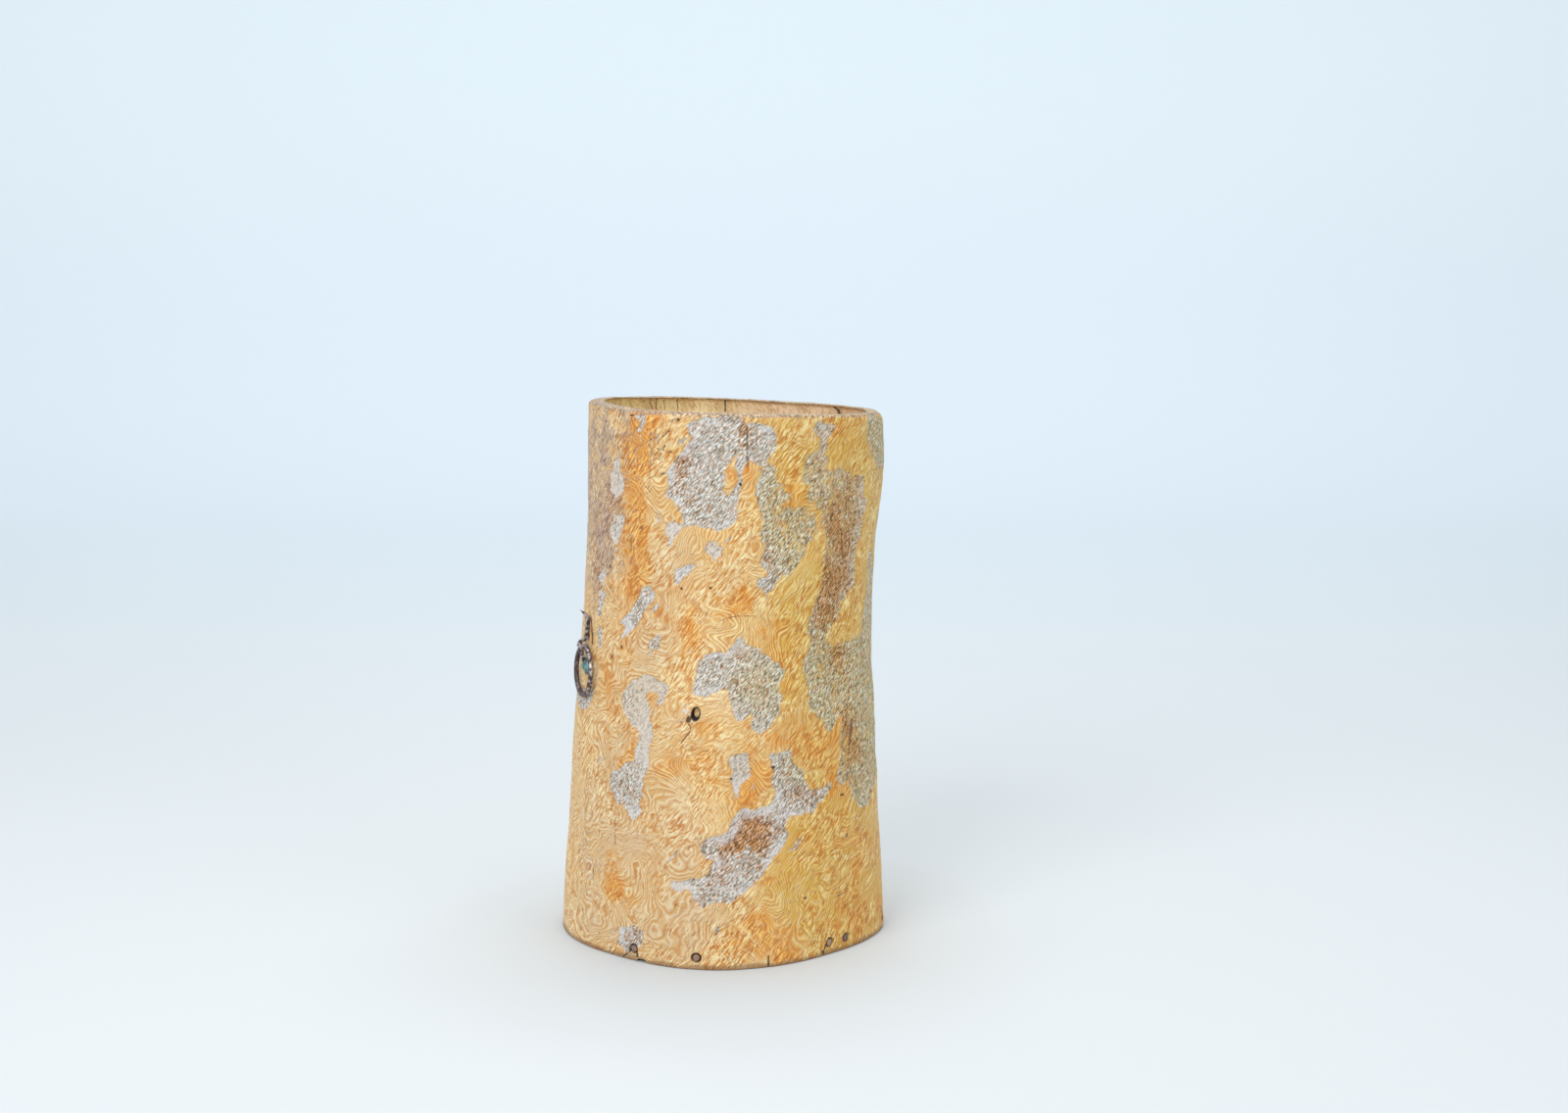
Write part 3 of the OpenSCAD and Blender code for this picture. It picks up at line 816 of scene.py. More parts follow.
class Hammered(SharedEffect):
    """A forged surface: flats left by the hammer, scale and small pits."""

    title = "hammered"
    takes = {"Place": Kind.VECTOR}
    gives = {"High": Kind.VALUE, "Pits": Kind.VALUE, "Height": Kind.VALUE}

    @classmethod
    def work(cls, sheet: Sheet, given: dict[str, Socket]) -> dict[str, Socket]:
        """Build the flats from coarse noise and the pits from fine noise."""
        flats = sheet.noise(given["Place"], 420.0, 2.0, 0.5).outputs[0]
        pits = sheet.between(sheet.noise(given["Place"], 1900.0, 3.0, 0.6).outputs[0], 0.56, 0.70)
        high = sheet.between(flats, 0.44, 0.60)
        height = sheet.math("MULTIPLY_ADD", flats, 0.0003, sheet.math("MULTIPLY", pits, -0.00012))
        return {"High": high, "Pits": pits, "Height": height}


@dataclass(frozen=True)
class Finish:
    """A finish: a material with its colour, roughness and height worked out in nodes."""

    title: str

    def make(self) -> bpy.types.Material:
        """Make the material.

        Returns:
            The material, with its nodes built and joined to its shader.
        """
        material = bpy.data.materials.new(self.title)
        material.use_nodes = True
        sheet = Sheet(material.node_tree)
        shader = material.node_tree.nodes["Principled BSDF"]
        self.paint(sheet, shader)
        return material

    def paint(self, sheet: Sheet, shader: bpy.types.Node) -> None:
        """Build the nodes that feed the shader."""
        raise NotImplementedError

    def raise_surface(self, sheet: Sheet, shader: bpy.types.Node, height: Socket) -> None:
        """Let a height in metres shade the surface."""
        bump = sheet.add("ShaderNodeBump")
        bump.inputs["Strength"].default_value = 1.0
        bump.inputs["Distance"].default_value = 1.0
        sheet.feed(bump.inputs["Height"], height)
        sheet.feed(shader.inputs["Normal"], bump.outputs[0])


@dataclass(frozen=True)
class BurlWood(Finish):
    """The trunk's finish: burl with a figure of fine light lines, bare patches and old wear."""

    title: str = "burl_wood"
    lines_per_unit: float = 16.0
    lines_across: tuple[float, float, float] = (200.0, 215.0, -150.0)
    fibre_lean: float = -7.0
    ground: Colour = srgb(224, 179, 108)
    groove: Colour = srgb(198, 118, 32)
    line: Colour = srgb(250, 234, 184)
    rich: Colour = srgb(222, 144, 46)
    rich_line: Colour = srgb(248, 208, 122)
    rich_groove: Colour = srgb(188, 106, 26)
    gold: Colour = (0.88, 0.79, 0.26, 1.0)
    peach: Colour = (0.89, 0.90, 1.06, 1.0)
    faded: Colour = srgb(226, 206, 182)
    pale_tone: Colour = srgb(230, 198, 146)
    weathered: Colour = srgb(202, 176, 156)
    weather_dark: Colour = srgb(124, 86, 60)
    fleck_dark: Colour = srgb(122, 110, 94)
    fleck_mid: Colour = srgb(184, 178, 164)
    fleck_light: Colour = srgb(248, 246, 242)
    olive: Colour = srgb(166, 156, 116)
    olive_dark: Colour = srgb(84, 68, 44)
    olive_mid: Colour = srgb(187, 176, 130)
    olive_light: Colour = srgb(247, 242, 220)
    rust: Colour = srgb(176, 126, 78)
    stain: Colour = srgb(214, 142, 50)
    stain_dark: Colour = srgb(98, 58, 18)
    fringe: Colour = srgb(226, 222, 220)
    rim_wear: Colour = srgb(188, 178, 162)
    rim_dark: Colour = srgb(92, 66, 44)
    inner_left: Colour = srgb(255, 238, 172)
    inner_right: Colour = srgb(252, 226, 202)
    inner_dark: Colour = srgb(192, 142, 74)
    dirt: Colour = srgb(124, 80, 46)
    shade: Colour = srgb(44, 30, 25)

    def paint(self, sheet: Sheet, shader: bpy.types.Node) -> None:
        """Build the wood, the bare patches over it, the inside and the marks, with painted shade in the pegs' gaps,
        the knot's ring, the cracks and low on the foot.
        """
        place = sheet.place()
        wood, wood_height = self.figured_wood(sheet, place)
        bare, bare_height, mask = self.bare_fibre(sheet, place, wood)
        inner, inner_height = self.inside(sheet, place)
        within = sheet.painted("inside")
        colour = sheet.mix(within, bare, inner)
        scuffs = sheet.noise(self.leaning(sheet, place, 0.6), 560.0, 4.0, 0.72).outputs[0]
        worn = sheet.mix(sheet.between(scuffs, 0.43, 0.57), self.rim_dark, self.rim_wear)
        wear = sheet.math("MULTIPLY", sheet.painted("rub"), sheet.between(scuffs, 0.60, 0.48, 0.06, 0.95), clamp=True)
        colour = sheet.mix(wear, colour, worn)
        # Old dirt, heavier low on the foot, where it also paints the foot's contact shadow, and darker further down
        # inside.
        dirt = sheet.effect(OldDirt.group(), Place=place, Amount=sheet.painted("dirt_and_shade")).outputs[0]
        colour = sheet.mix(sheet.math("MULTIPLY", dirt, 0.60), colour, self.dirt)
        colour, marks = self.marked(sheet, place, colour)
        # Painted shade: the gaps round the pegs and the knot's sunken ring are darkened towards the shade colour.
        pit_shade = sheet.painted("pit_shade")
        colour = sheet.mix(pit_shade, colour, self.shade)
        sheet.feed(shader.inputs["Base Color"], colour)
        outer_height = sheet.math("ADD", wood_height, bare_height)
        height = sheet.sum([
            sheet.math("MULTIPLY", outer_height, sheet.math("SUBTRACT", 1.0, within)),
            sheet.math("MULTIPLY", inner_height, within),
            sheet.math("MULTIPLY", marks, -0.0006)])
        self.raise_surface(sheet, shader, height)
        rough = sheet.math("MULTIPLY_ADD", mask, 0.28, 0.50)
        rough = sheet.math("MULTIPLY_ADD", marks, 0.2, rough, clamp=True)
        sheet.feed(shader.inputs["Roughness"], rough)

    def figured_wood(self, sheet: Sheet, place: Socket) -> tuple[Socket, Socket]:
        """Build the burl figure: lines that run in parallel, lean and curl round the eyes."""
        centre = (0.5, 0.5, 0.5)
        broad = sheet.vector("SUBTRACT", sheet.noise(place, 13.0, 1.0).outputs["Color"], centre).outputs[0]
        close = sheet.vector("SUBTRACT", sheet.noise(place, 62.0, 2.0).outputs["Color"], centre).outputs[0]
        bend = sheet.vector("ADD", sheet.vector("SCALE", broad, scale=0.036).outputs[0],
                            sheet.vector("SCALE", close, scale=0.0125).outputs[0]).outputs[0]
        bent = sheet.vector("ADD", place, bend).outputs[0]
        loose = sheet.between(sheet.noise(place, 11.0, 1.0).outputs[0], 0.38, 0.62, 0.35, 1.5)
        curls = sheet.math("MULTIPLY", sheet.noise(bent, 25.0, 1.5, 0.45).outputs[0], loose)
        field = sheet.math("ADD", curls, sheet.painted("swirl"))
        slope = sheet.vector("DOT_PRODUCT", bent, self.lines_across).outputs["Value"]
        phase = sheet.math("MULTIPLY_ADD", field, self.lines_per_unit, slope)
        flow = sheet.noise(bent, 66.0, 2.5, 0.62, sheet.math("MULTIPLY", phase, 1.9 / 66.0)).outputs[0]
        patchy = sheet.between(sheet.noise(place, 34.0, 3.0, 0.6).outputs[0], 0.38, 0.58, 0.20, 1.0)
        lines = sheet.math("MULTIPLY", sheet.between(flow, 0.51, 0.59), patchy)
        grooves = sheet.math("MULTIPLY", sheet.between(flow, 0.47, 0.39), patchy)
        tone = sheet.math("ADD", sheet.painted("tone"), sheet.math(
            "MULTIPLY_ADD", sheet.noise(place, 26.0, 4.0, 0.66).outputs[0], 4.6, -2.3))
        rich = sheet.between(tone, 0.05, 0.95)
        pale = sheet.between(tone, 0.0, -1.0, 0.0, 0.9)
        light = sheet.mix(rich, self.line, self.rich_line)
        dark = sheet.mix(rich, self.groove, self.rich_groove)
        colour = sheet.mix(pale, sheet.mix(rich, self.ground, self.rich), self.pale_tone)
        colour = sheet.mix(sheet.math("MULTIPLY", grooves, 0.58), colour, dark)
        colour = sheet.mix(sheet.math("MULTIPLY", lines, 0.66), colour, light)
        wavy = sheet.vector("ADD", place, sheet.vector("SCALE", bend, scale=0.45).outputs[0]).outputs[0]
        fibre = sheet.noise(self.leaning(sheet, wavy, 0.22), 760.0, 3.0, 0.64).outputs[0]
        areas = sheet.noise(place, 30.0, 3.0, 0.6).outputs[0]
        strong = sheet.between(areas, 0.43, 0.58, 0.14, 0.95)
        colour = sheet.mix(sheet.math("MULTIPLY", sheet.between(fibre, 0.49, 0.40), strong), colour, dark)
        colour = sheet.mix(sheet.math("MULTIPLY", sheet.between(fibre, 0.51, 0.60), strong), colour, light)
        wave = sheet.math("SINE", sheet.math("MULTIPLY", phase, 2 * math.pi))
        fine = sheet.between(areas, 0.56, 0.44, 0.0, 0.55)
        colour = sheet.mix(sheet.math("MULTIPLY", sheet.between(wave, 0.50, 0.98), fine), colour, light)
        colour = sheet.mix(sheet.math("MULTIPLY", sheet.between(wave, -0.5, -1.1), fine), colour, dark)
        hue = sheet.math("ADD", sheet.painted("golden"), sheet.math(
            "MULTIPLY_ADD", sheet.noise(place, 15.0, 2.0).outputs[0], 1.6, -0.8))
        golden = sheet.math("MULTIPLY", sheet.between(hue, 0.0, 0.85), sheet.between(
            sheet.math("MAXIMUM", lines, sheet.between(fibre, 0.51, 0.60)), 0.0, 1.0, 1.0, 0.40))
        colour = sheet.mix(golden, colour, self.gold, "MULTIPLY")
        colour = sheet.mix(sheet.between(hue, 0.0, -1.0), colour, self.peach, "MULTIPLY")
        grains = sheet.noise(self.leaning(sheet, place, 0.45), 640.0, 4.0, 0.70).outputs[0]
        clouded = sheet.between(sheet.noise(place, 70.0, 3.0, 0.6).outputs[0], 0.38, 0.60, 0.45, 1.3)
        cover = sheet.math("MULTIPLY_ADD", sheet.math("MULTIPLY", sheet.painted("weather"), clouded), 0.20, grains)
        grey = sheet.mix(sheet.between(fibre, 0.40, 0.60), self.weather_dark, self.weathered)
        grey = sheet.mix(sheet.math("MULTIPLY", sheet.painted("olive"), 0.8, clamp=True), grey, self.olive)
        colour = sheet.mix(sheet.between(cover, 0.57, 0.68, 0.0, 0.88), colour, grey)
        height = sheet.math("MULTIPLY_ADD", lines, 0.00008, sheet.math("MULTIPLY", fibre, 0.00032))
        return colour, height

    def leaning(self, sheet: Sheet, place: Socket, squeeze: float) -> Socket:
        """Draw a place out along fibres that lean to the right as they rise."""
        up = sheet.parts(place)[2]
        lean = sheet.add("ShaderNodeVectorRotate", rotation_type="Z_AXIS")
        sheet.feed(lean.inputs["Vector"], place)
        sheet.feed(lean.inputs["Angle"], sheet.math("MULTIPLY", up, self.fibre_lean))
        return sheet.vector("MULTIPLY", lean.outputs[0], (1.0, 1.0, squeeze)).outputs[0]

    def bare_fibre(self, sheet: Sheet, place: Socket,
                   wood: Socket) -> tuple[Socket, Socket, Socket]:
        """Lay the bare patches over the wood: slanting grey fibre, stained brown, with a fringe and a painted shadow
        line along their sunken edge.
        """
        drawn = self.leaning(sheet, place, 0.42)
        ragged = sheet.math("MULTIPLY_ADD", sheet.noise(drawn, 105.0, 5.0, 0.70).outputs[0], 0.0125, -0.00625)
        coarse = sheet.math("MULTIPLY_ADD", sheet.noise(place, 420.0, 2.0, 0.6).outputs[0], 0.0030, -0.0015)
        specks = sheet.math("MULTIPLY_ADD", sheet.noise(drawn, 95.0, 3.0, 0.6).outputs[0], -0.03, 0.0210)
        olive = sheet.painted("olive")
        ragged = sheet.math("MULTIPLY", ragged, sheet.between(olive, 0.2, 1.0, 1.0, 2.2))
        edge = sheet.math("MINIMUM", sheet.sum([sheet.painted("bare"), ragged, coarse]), specks)
        through = sheet.between(sheet.noise(drawn, 330.0, 4.0, 0.70).outputs[0], 0.52, 0.57)
        through = sheet.math("MULTIPLY", through, sheet.between(olive, 0.5, 1.0, 0.0, 0.85))
        mask = sheet.math("MULTIPLY", sheet.between(edge, 0.0004, -0.0004),
                          sheet.math("SUBTRACT", 1.0, through))
        strokes = sheet.noise(self.leaning(sheet, place, 0.42), 980.0, 3.0, 0.66).outputs[0]
        green = sheet.between(olive, 0.1, 0.9)
        low = sheet.mix(green, self.fleck_dark, self.olive_dark)
        middle = sheet.mix(green, self.fleck_mid, self.olive_mid)
        high = sheet.mix(green, self.fleck_light, self.olive_light)
        colour = sheet.mix(sheet.between(strokes, 0.38, 0.48), low, middle)
        colour = sheet.mix(sheet.between(strokes, 0.51, 0.58), colour, high)
        mottle = sheet.noise(place, 48.0, 3.0, 0.6).outputs[0]
        mottle = sheet.math("MULTIPLY", sheet.between(mottle, 0.48, 0.64, 0.0, 0.30),
                            sheet.math("SUBTRACT", 1.0, green))
        colour = sheet.mix(mottle, colour, self.fringe)
        rusty = sheet.between(sheet.noise(drawn, 420.0, 4.0, 0.68).outputs[0], 0.55, 0.62, 0.0, 0.60)
        colour = sheet.mix(rusty, colour, self.rust)
        cloud = sheet.between(sheet.noise(place, 62.0, 4.0, 0.66).outputs[0], 0.36, 0.62, 0.15, 1.3)
        brown = sheet.math("MULTIPLY", sheet.painted("stain"), cloud)
        crumbs = sheet.noise(drawn, 760.0, 3.0, 0.68).outputs[0]
        brown = sheet.between(sheet.math("MULTIPLY_ADD", brown, 0.11, crumbs), 0.54, 0.62)
        streaked = sheet.mix(sheet.between(strokes, 0.43, 0.57), self.stain_dark, self.stain)
        colour = sheet.mix(sheet.math("MULTIPLY", brown, 0.92), colour, streaked)
        colour = sheet.mix(sheet.between(strokes, 0.57, 0.62, 0.0, 0.52), colour, high)
        rim = sheet.math("MULTIPLY", sheet.between(edge, -0.0090, -0.0010), sheet.between(
            sheet.noise(place, 46.0, 2.0, 0.5).outputs[0], 0.43, 0.56, 0.08, 1.0))
        rim = sheet.math("MULTIPLY", rim, sheet.between(olive, 0.0, 0.5, 0.85, 0.05))
        rim = sheet.math("MULTIPLY", rim, sheet.between(strokes, 0.36, 0.54, 0.25, 1.0))
        colour = sheet.mix(rim, colour, self.fringe)
        faded = sheet.math("MULTIPLY", sheet.painted("faded"), sheet.between(strokes, 0.40, 0.56, 0.4, 1.4),
                           clamp=True)
        colour = sheet.mix(faded, colour, self.faded)
        # Painted shadow: a thin brownish line, broken by noise, along the bare patches' sunken edge.
        line = sheet.between(sheet.math("ABSOLUTE", sheet.math("SUBTRACT", edge, 0.0002)), 0.0008, 0.0001)
        edge_shadow = sheet.math("MULTIPLY", line, sheet.between(
            sheet.noise(place, 90.0, 3.0).outputs[0], 0.50, 0.64, 0.0, 0.55))
        colour = sheet.mix(mask, wood, colour)
        colour = sheet.mix(edge_shadow, colour, self.stain)
        rough = sheet.math("MULTIPLY_ADD", strokes, 0.0007, -0.00063)
        return colour, sheet.math("MULTIPLY", rough, mask), mask

    def inside(self, sheet: Sheet, place: Socket) -> tuple[Socket, Socket]:
        """Build the inside: long fibres, golden on the left and pinkish brown on the right."""
        fibres = sheet.effect(WoodFibres.group(), Place=place, Lean=-1.6)
        side = sheet.between(sheet.parts(place)[0], -0.09, 0.08)
        colour = sheet.mix(side, self.inner_left, self.inner_right)
        dark = sheet.between(fibres.outputs["Bands"], 0.52, 0.36, 0.0, 0.45)
        colour = sheet.mix(dark, colour, self.inner_dark)
        cut = sheet.noise(self.leaning(sheet, place, 0.35), 640.0, 4.0, 0.70).outputs[0]
        colour = sheet.mix(sheet.between(cut, 0.48, 0.39, 0.0, 0.65), colour, self.inner_dark)
        colour = sheet.mix(sheet.between(cut, 0.52, 0.62, 0.0, 0.70), colour, self.line)
        colour = sheet.mix(sheet.math("MULTIPLY", fibres.outputs["Pores"], 0.5), colour, self.inner_dark)
        clouds = sheet.between(sheet.noise(place, 22.0, 4.0, 0.6).outputs[0], 0.48, 0.70, 0.0, 0.30)
        colour = sheet.mix(clouds, colour, self.inner_dark)
        return colour, fibres.outputs["Height"]

    def marked(self, sheet: Sheet, place: Socket, colour: Socket) -> tuple[Socket, Socket]:
        """Score the cracks, scratches and small holes into the wood, as the mesh carries them; dark ink paints shade
        into cracks and holes, and one mark paints the nail's shadow.
        """
        score = sheet.add("ShaderNodeAttribute", attribute_name="score")
        ink = sheet.add("ShaderNodeAttribute", attribute_name="ink")
        across, along, half = sheet.parts(score.outputs["Vector"])
        shaken = sheet.math("MULTIPLY_ADD", sheet.noise(place, 260.0, 3.0, 0.6).outputs[0], 3.0, -1.5)
        across = sheet.math("ADD", across, shaken)
        beyond = sheet.math("MAXIMUM", sheet.math("SUBTRACT", sheet.math("ABSOLUTE", along), half), 0.0)
        apart = sheet.vector("LENGTH", sheet.join(across, beyond)).outputs["Value"]
        mask = sheet.between(apart, 1.25, 0.55)
        broken = sheet.between(sheet.noise(place, 480.0, 2.0).outputs[0], 0.40, 0.54, 0.1, 1.0)
        broken = sheet.math("MAXIMUM", broken, sheet.between(ink.outputs["Alpha"], 0.4, 0.5))
        mask = sheet.math("MULTIPLY", mask, broken)
        colour = sheet.mix(sheet.math("MULTIPLY", mask, 0.88), colour, ink.outputs["Color"])
        return colour, sheet.math("MULTIPLY", mask, ink.outputs["Alpha"])


@dataclass(frozen=True)
class OldBoard(Finish):
    """The bottom board's finish: a dry old plank, its grain running from side to side."""

    title: str = "old_board"
    light: Colour = srgb(190, 158, 118)
    dark: Colour = srgb(138, 102, 68)
    dirt: Colour = srgb(92, 72, 54)

    def paint(self, sheet: Sheet, shader: bpy.types.Node) -> None:
        """Build the plank's rings, fibres and dirt."""
        place = sheet.place()
        lie = sheet.add("ShaderNodeMapping", vector_type="POINT")
        lie.inputs["Rotation"].default_value = (0.0, math.pi / 2, 0.0)
        sheet.feed(lie.inputs["Vector"], place)
        fibres = sheet.effect(WoodFibres.group(), Place=lie.outputs[0], Lean=0.0)
        colour = sheet.mix(sheet.between(fibres.outputs["Bands"], 0.36, 0.62), self.dark, self.light)
        colour = sheet.mix(sheet.between(fibres.outputs["Fibres"], 0.62, 0.38, 0.0, 0.5), colour, self.dark)
        colour = sheet.mix(sheet.math("MULTIPLY", fibres.outputs["Pores"], 0.6), colour, self.dirt)
        dirt = sheet.effect(OldDirt.group(), Place=place).outputs[0]
        dirt.node.inputs["Amount"].default_value = 0.35
        colour = sheet.mix(sheet.math("MULTIPLY", dirt, 0.55), colour, self.dirt)
        sheet.feed(shader.inputs["Base Color"], colour)
        sheet.feed(shader.inputs["Roughness"], sheet.math("MULTIPLY_ADD", dirt, 0.14, 0.72))
        self.raise_surface(sheet, shader, sheet.math("MULTIPLY", fibres.outputs["Height"], 1.6))


@dataclass(frozen=True)
class PegWood(Finish):
    """The pegs' finish: end grain with rings round the peg's heart, darker with age."""

    title: str = "peg_wood"
    fresh: Colour = srgb(228, 186, 154)
    light: Colour = srgb(150, 124, 108)
    dark: Colour = srgb(70, 52, 46)
    blue: Colour = srgb(136, 124, 130)

    def paint(self, sheet: Sheet, shader: bpy.types.Node) -> None:
        """Build the end grain from noise that follows each peg's own heart distance."""
        place = sheet.place()
        heart = sheet.painted("heart")
        rings = sheet.noise(place, 260.0, 3.0, 0.6, sheet.math("MULTIPLY", heart, 9.0)).outputs[0]
        age = sheet.painted("age")
        pale = sheet.mix(sheet.between(age, 0.0, 0.8), self.fresh, self.light)
        colour = sheet.mix(sheet.between(rings, 0.30, 0.58), self.dark, pale)
        cool = sheet.between(sheet.noise(place, 300.0, 2.0).outputs[0], 0.45, 0.62, 0.0, 0.75)
        colour = sheet.mix(sheet.math("MULTIPLY", cool, age), colour, self.blue)
        # Painted shade: the peg's end darkens towards its edge, beside the dark gap in its hole.
        colour = sheet.mix(sheet.between(heart, 0.70, 1.02), colour, self.dark)
        dirt = sheet.effect(OldDirt.group(), Place=place).outputs[0]
        dirt.node.inputs["Amount"].default_value = 0.30
        dirt = sheet.math("MULTIPLY", dirt, sheet.between(age, 0.0, 1.0, 0.25, 0.8))
        colour = sheet.mix(dirt, colour, self.dark)
        sheet.feed(shader.inputs["Base Color"], colour)
        sheet.feed(shader.inputs["Roughness"], sheet.math("MULTIPLY_ADD", rings, 0.2, 0.62))
        self.raise_surface(sheet, shader, sheet.math("MULTIPLY", rings, 0.0006))


@dataclass(frozen=True)
class WroughtIron(Finish):
    """The nail's and the ring's finish: forged iron, dark scale, rubbed on its high spots."""

    title: str = "wrought_iron"
    scale: Colour = srgb(80, 68, 66)
    rubbed: Colour = srgb(202, 190, 190)
    rust: Colour = srgb(112, 72, 58)

    def paint(self, sheet: Sheet, shader: bpy.types.Node) -> None:
        """Build the scale, the rubbed spots and the rust in the pits."""
        place = sheet.place()
        forged = sheet.effect(Hammered.group(), Place=place)
        high = sheet.math("MULTIPLY", forged.outputs["High"], sheet.painted("rub"), clamp=True)
        colour = sheet.mix(high, self.scale, self.rubbed)
        rust = sheet.between(sheet.noise(place, 240.0, 3.0, 0.65).outputs[0], 0.52, 0.68, 0.0, 0.65)
        rust = sheet.math("MAXIMUM", rust, sheet.math("MULTIPLY", forged.outputs["Pits"], 0.8))
        colour = sheet.mix(rust, colour, self.rust)
        sheet.feed(shader.inputs["Base Color"], colour)
        metal = sheet.math("MULTIPLY_ADD", rust, -0.55, 0.72, clamp=True)
        sheet.feed(shader.inputs["Metallic"], metal)
        rough = sheet.math("MULTIPLY_ADD", high, -0.16, sheet.math("MULTIPLY_ADD", rust, 0.25, 0.52))
        sheet.feed(shader.inputs["Roughness"], rough)
        self.raise_surface(sheet, shader, forged.outputs["Height"])


@dataclass(frozen=True)
class Verdigris(Finish):
    """The copper scrap's finish: green and blue crust with brown copper in its scratches."""

    title: str = "verdigris"
    green: Colour = srgb(92, 154, 146)
    blue: Colour = srgb(120, 190, 190)
    copper: Colour = srgb(112, 78, 58)

    def paint(self, sheet: Sheet, shader: bpy.types.Node) -> None:
        """Build the crust and the places where it has come off."""
        place = sheet.place()
        forged = sheet.effect(Hammered.group(), Place=place)
        crust = sheet.noise(place, 520.0, 4.0, 0.65).outputs[0]
        colour = sheet.mix(sheet.between(crust, 0.38, 0.62), self.green, self.blue)
        off = sheet.between(sheet.noise(place, 300.0, 3.0, 0.7).outputs[0], 0.52, 0.61)
        off = sheet.math("MAXIMUM", off, sheet.math("MULTIPLY", forged.outputs["Pits"], 0.7))
        colour = sheet.mix(off, colour, self.copper)
        sheet.feed(shader.inputs["Base Color"], colour)
        sheet.feed(shader.inputs["Metallic"], sheet.math("MULTIPLY", off, 0.55))
        sheet.feed(shader.inputs["Roughness"], sheet.math("MULTIPLY_ADD", off, -0.22, 0.78))
        height = sheet.math("MULTIPLY_ADD", crust, 0.0005, forged.outputs["Height"])
        self.raise_surface(sheet, shader, height)


@dataclass(frozen=True)
class StudioPaint(Finish):
    """The floor's and the backdrop's finish: plain pale paint."""

    title: str = "studio_paint"
    low: Colour = srgb(208, 213, 216)
    middle: Colour = srgb(214, 227, 236)
    high: Colour = srgb(222, 236, 242)
    lift: float = 0.13
    far_lift: float = 0.40

    def paint(self, sheet: Sheet, shader: bpy.types.Node) -> None:
        """Build the change of tint from the floor up the backdrop, which is seen a little lighter."""
        place = sheet.place()
        across, back, up = sheet.parts(place)
        colour = sheet.mix(sheet.between(back, 0.4, 2.2), self.low, self.middle)
        colour = sheet.mix(sheet.between(up, 0.15, 0.65), colour, self.high)
        grain = sheet.noise(place, 90.0, 3.0).outputs[0]
        sheet.feed(shader.inputs["Base Color"], colour)
        sheet.feed(shader.inputs["Roughness"], sheet.math("MULTIPLY_ADD", grain, 0.1, 0.85))
        rays = sheet.add("ShaderNodeLightPath").outputs
        seen = sheet.sum([rays["Is Camera Ray"], rays["Is Glossy Ray"], rays["Is Transmission Ray"]])
        aside = sheet.between(sheet.math("ABSOLUTE", across), 1.7, 4.6, 0.0, self.far_lift)
        ahead = sheet.between(back, -1.2, -3.9, 0.0, self.far_lift)
        far = sheet.math("MAXIMUM", aside, ahead)
        lift = sheet.math("MAXIMUM", sheet.between(back, 0.3, 2.4, 0.0, self.lift), far)
        lift = sheet.math("MULTIPLY", lift, seen)
        sheet.feed(shader.inputs["Emission Color"], sheet.join(lift, lift, lift))
        shader.inputs["Emission Strength"].default_value = 1.0


@dataclass(frozen=True)
class Station:
    """A place along a swept piece: the frame that its round section lies in, and its radius."""

    frame: Matrix
    radius: float


def swept(stations: Sequence[Station], sides: int, square: float = 0.0) -> bmesh.types.BMesh:
    """Sweep a round section along stations by extruding its edge from each to the next.

    Args:
        stations: the places, in order; the section lies in each frame's XY plane.
        sides: how many sides the section has.
        square: how far the section is squared, as a share of its radius that its corners gain.

    Returns:
        The closed shape.
    """
    shape = bmesh.new()
    seats = [station.frame @ Matrix.Scale(station.radius, 4) for station in stations]
    made = bmesh.ops.create_circle(shape, cap_ends=True, segments=sides, radius=1.0)
    for vert in made["verts"]:
        vert.co *= 1 + square * math.sin(2 * math.atan2(vert.co.y, vert.co.x)) ** 2
    bmesh.ops.transform(shape, matrix=seats[0], verts=made["verts"])
    edges = list({edge for vert in made["verts"] for edge in vert.link_edges})
    for before, after in zip(seats, seats[1:]):
        grown = bmesh.ops.extrude_edge_only(shape, edges=edges)["geom"]
        verts = [part for part in grown if isinstance(part, bmesh.types.BMVert)]
        bmesh.ops.transform(shape, matrix=after @ before.inverted(), verts=verts)
        fresh = set(verts)
        edges = [part for part in grown
                 if isinstance(part, bmesh.types.BMEdge) and set(part.verts) <= fresh]
    bmesh.ops.contextual_create(shape, geom=edges)
    bmesh.ops.recalc_face_normals(shape, faces=shape.faces)
    return shape


def places(shape: bmesh.types.BMesh) -> np.ndarray:
    """Give a shape's places, one row for each of its vertices."""
    return np.array([vert.co[:] for vert in shape.verts])


def move_to(shape: bmesh.types.BMesh, goal: np.ndarray) -> None:
    """Put a shape's vertices at new places."""
    for vert, place in zip(shape.verts, goal):
        vert.co = place


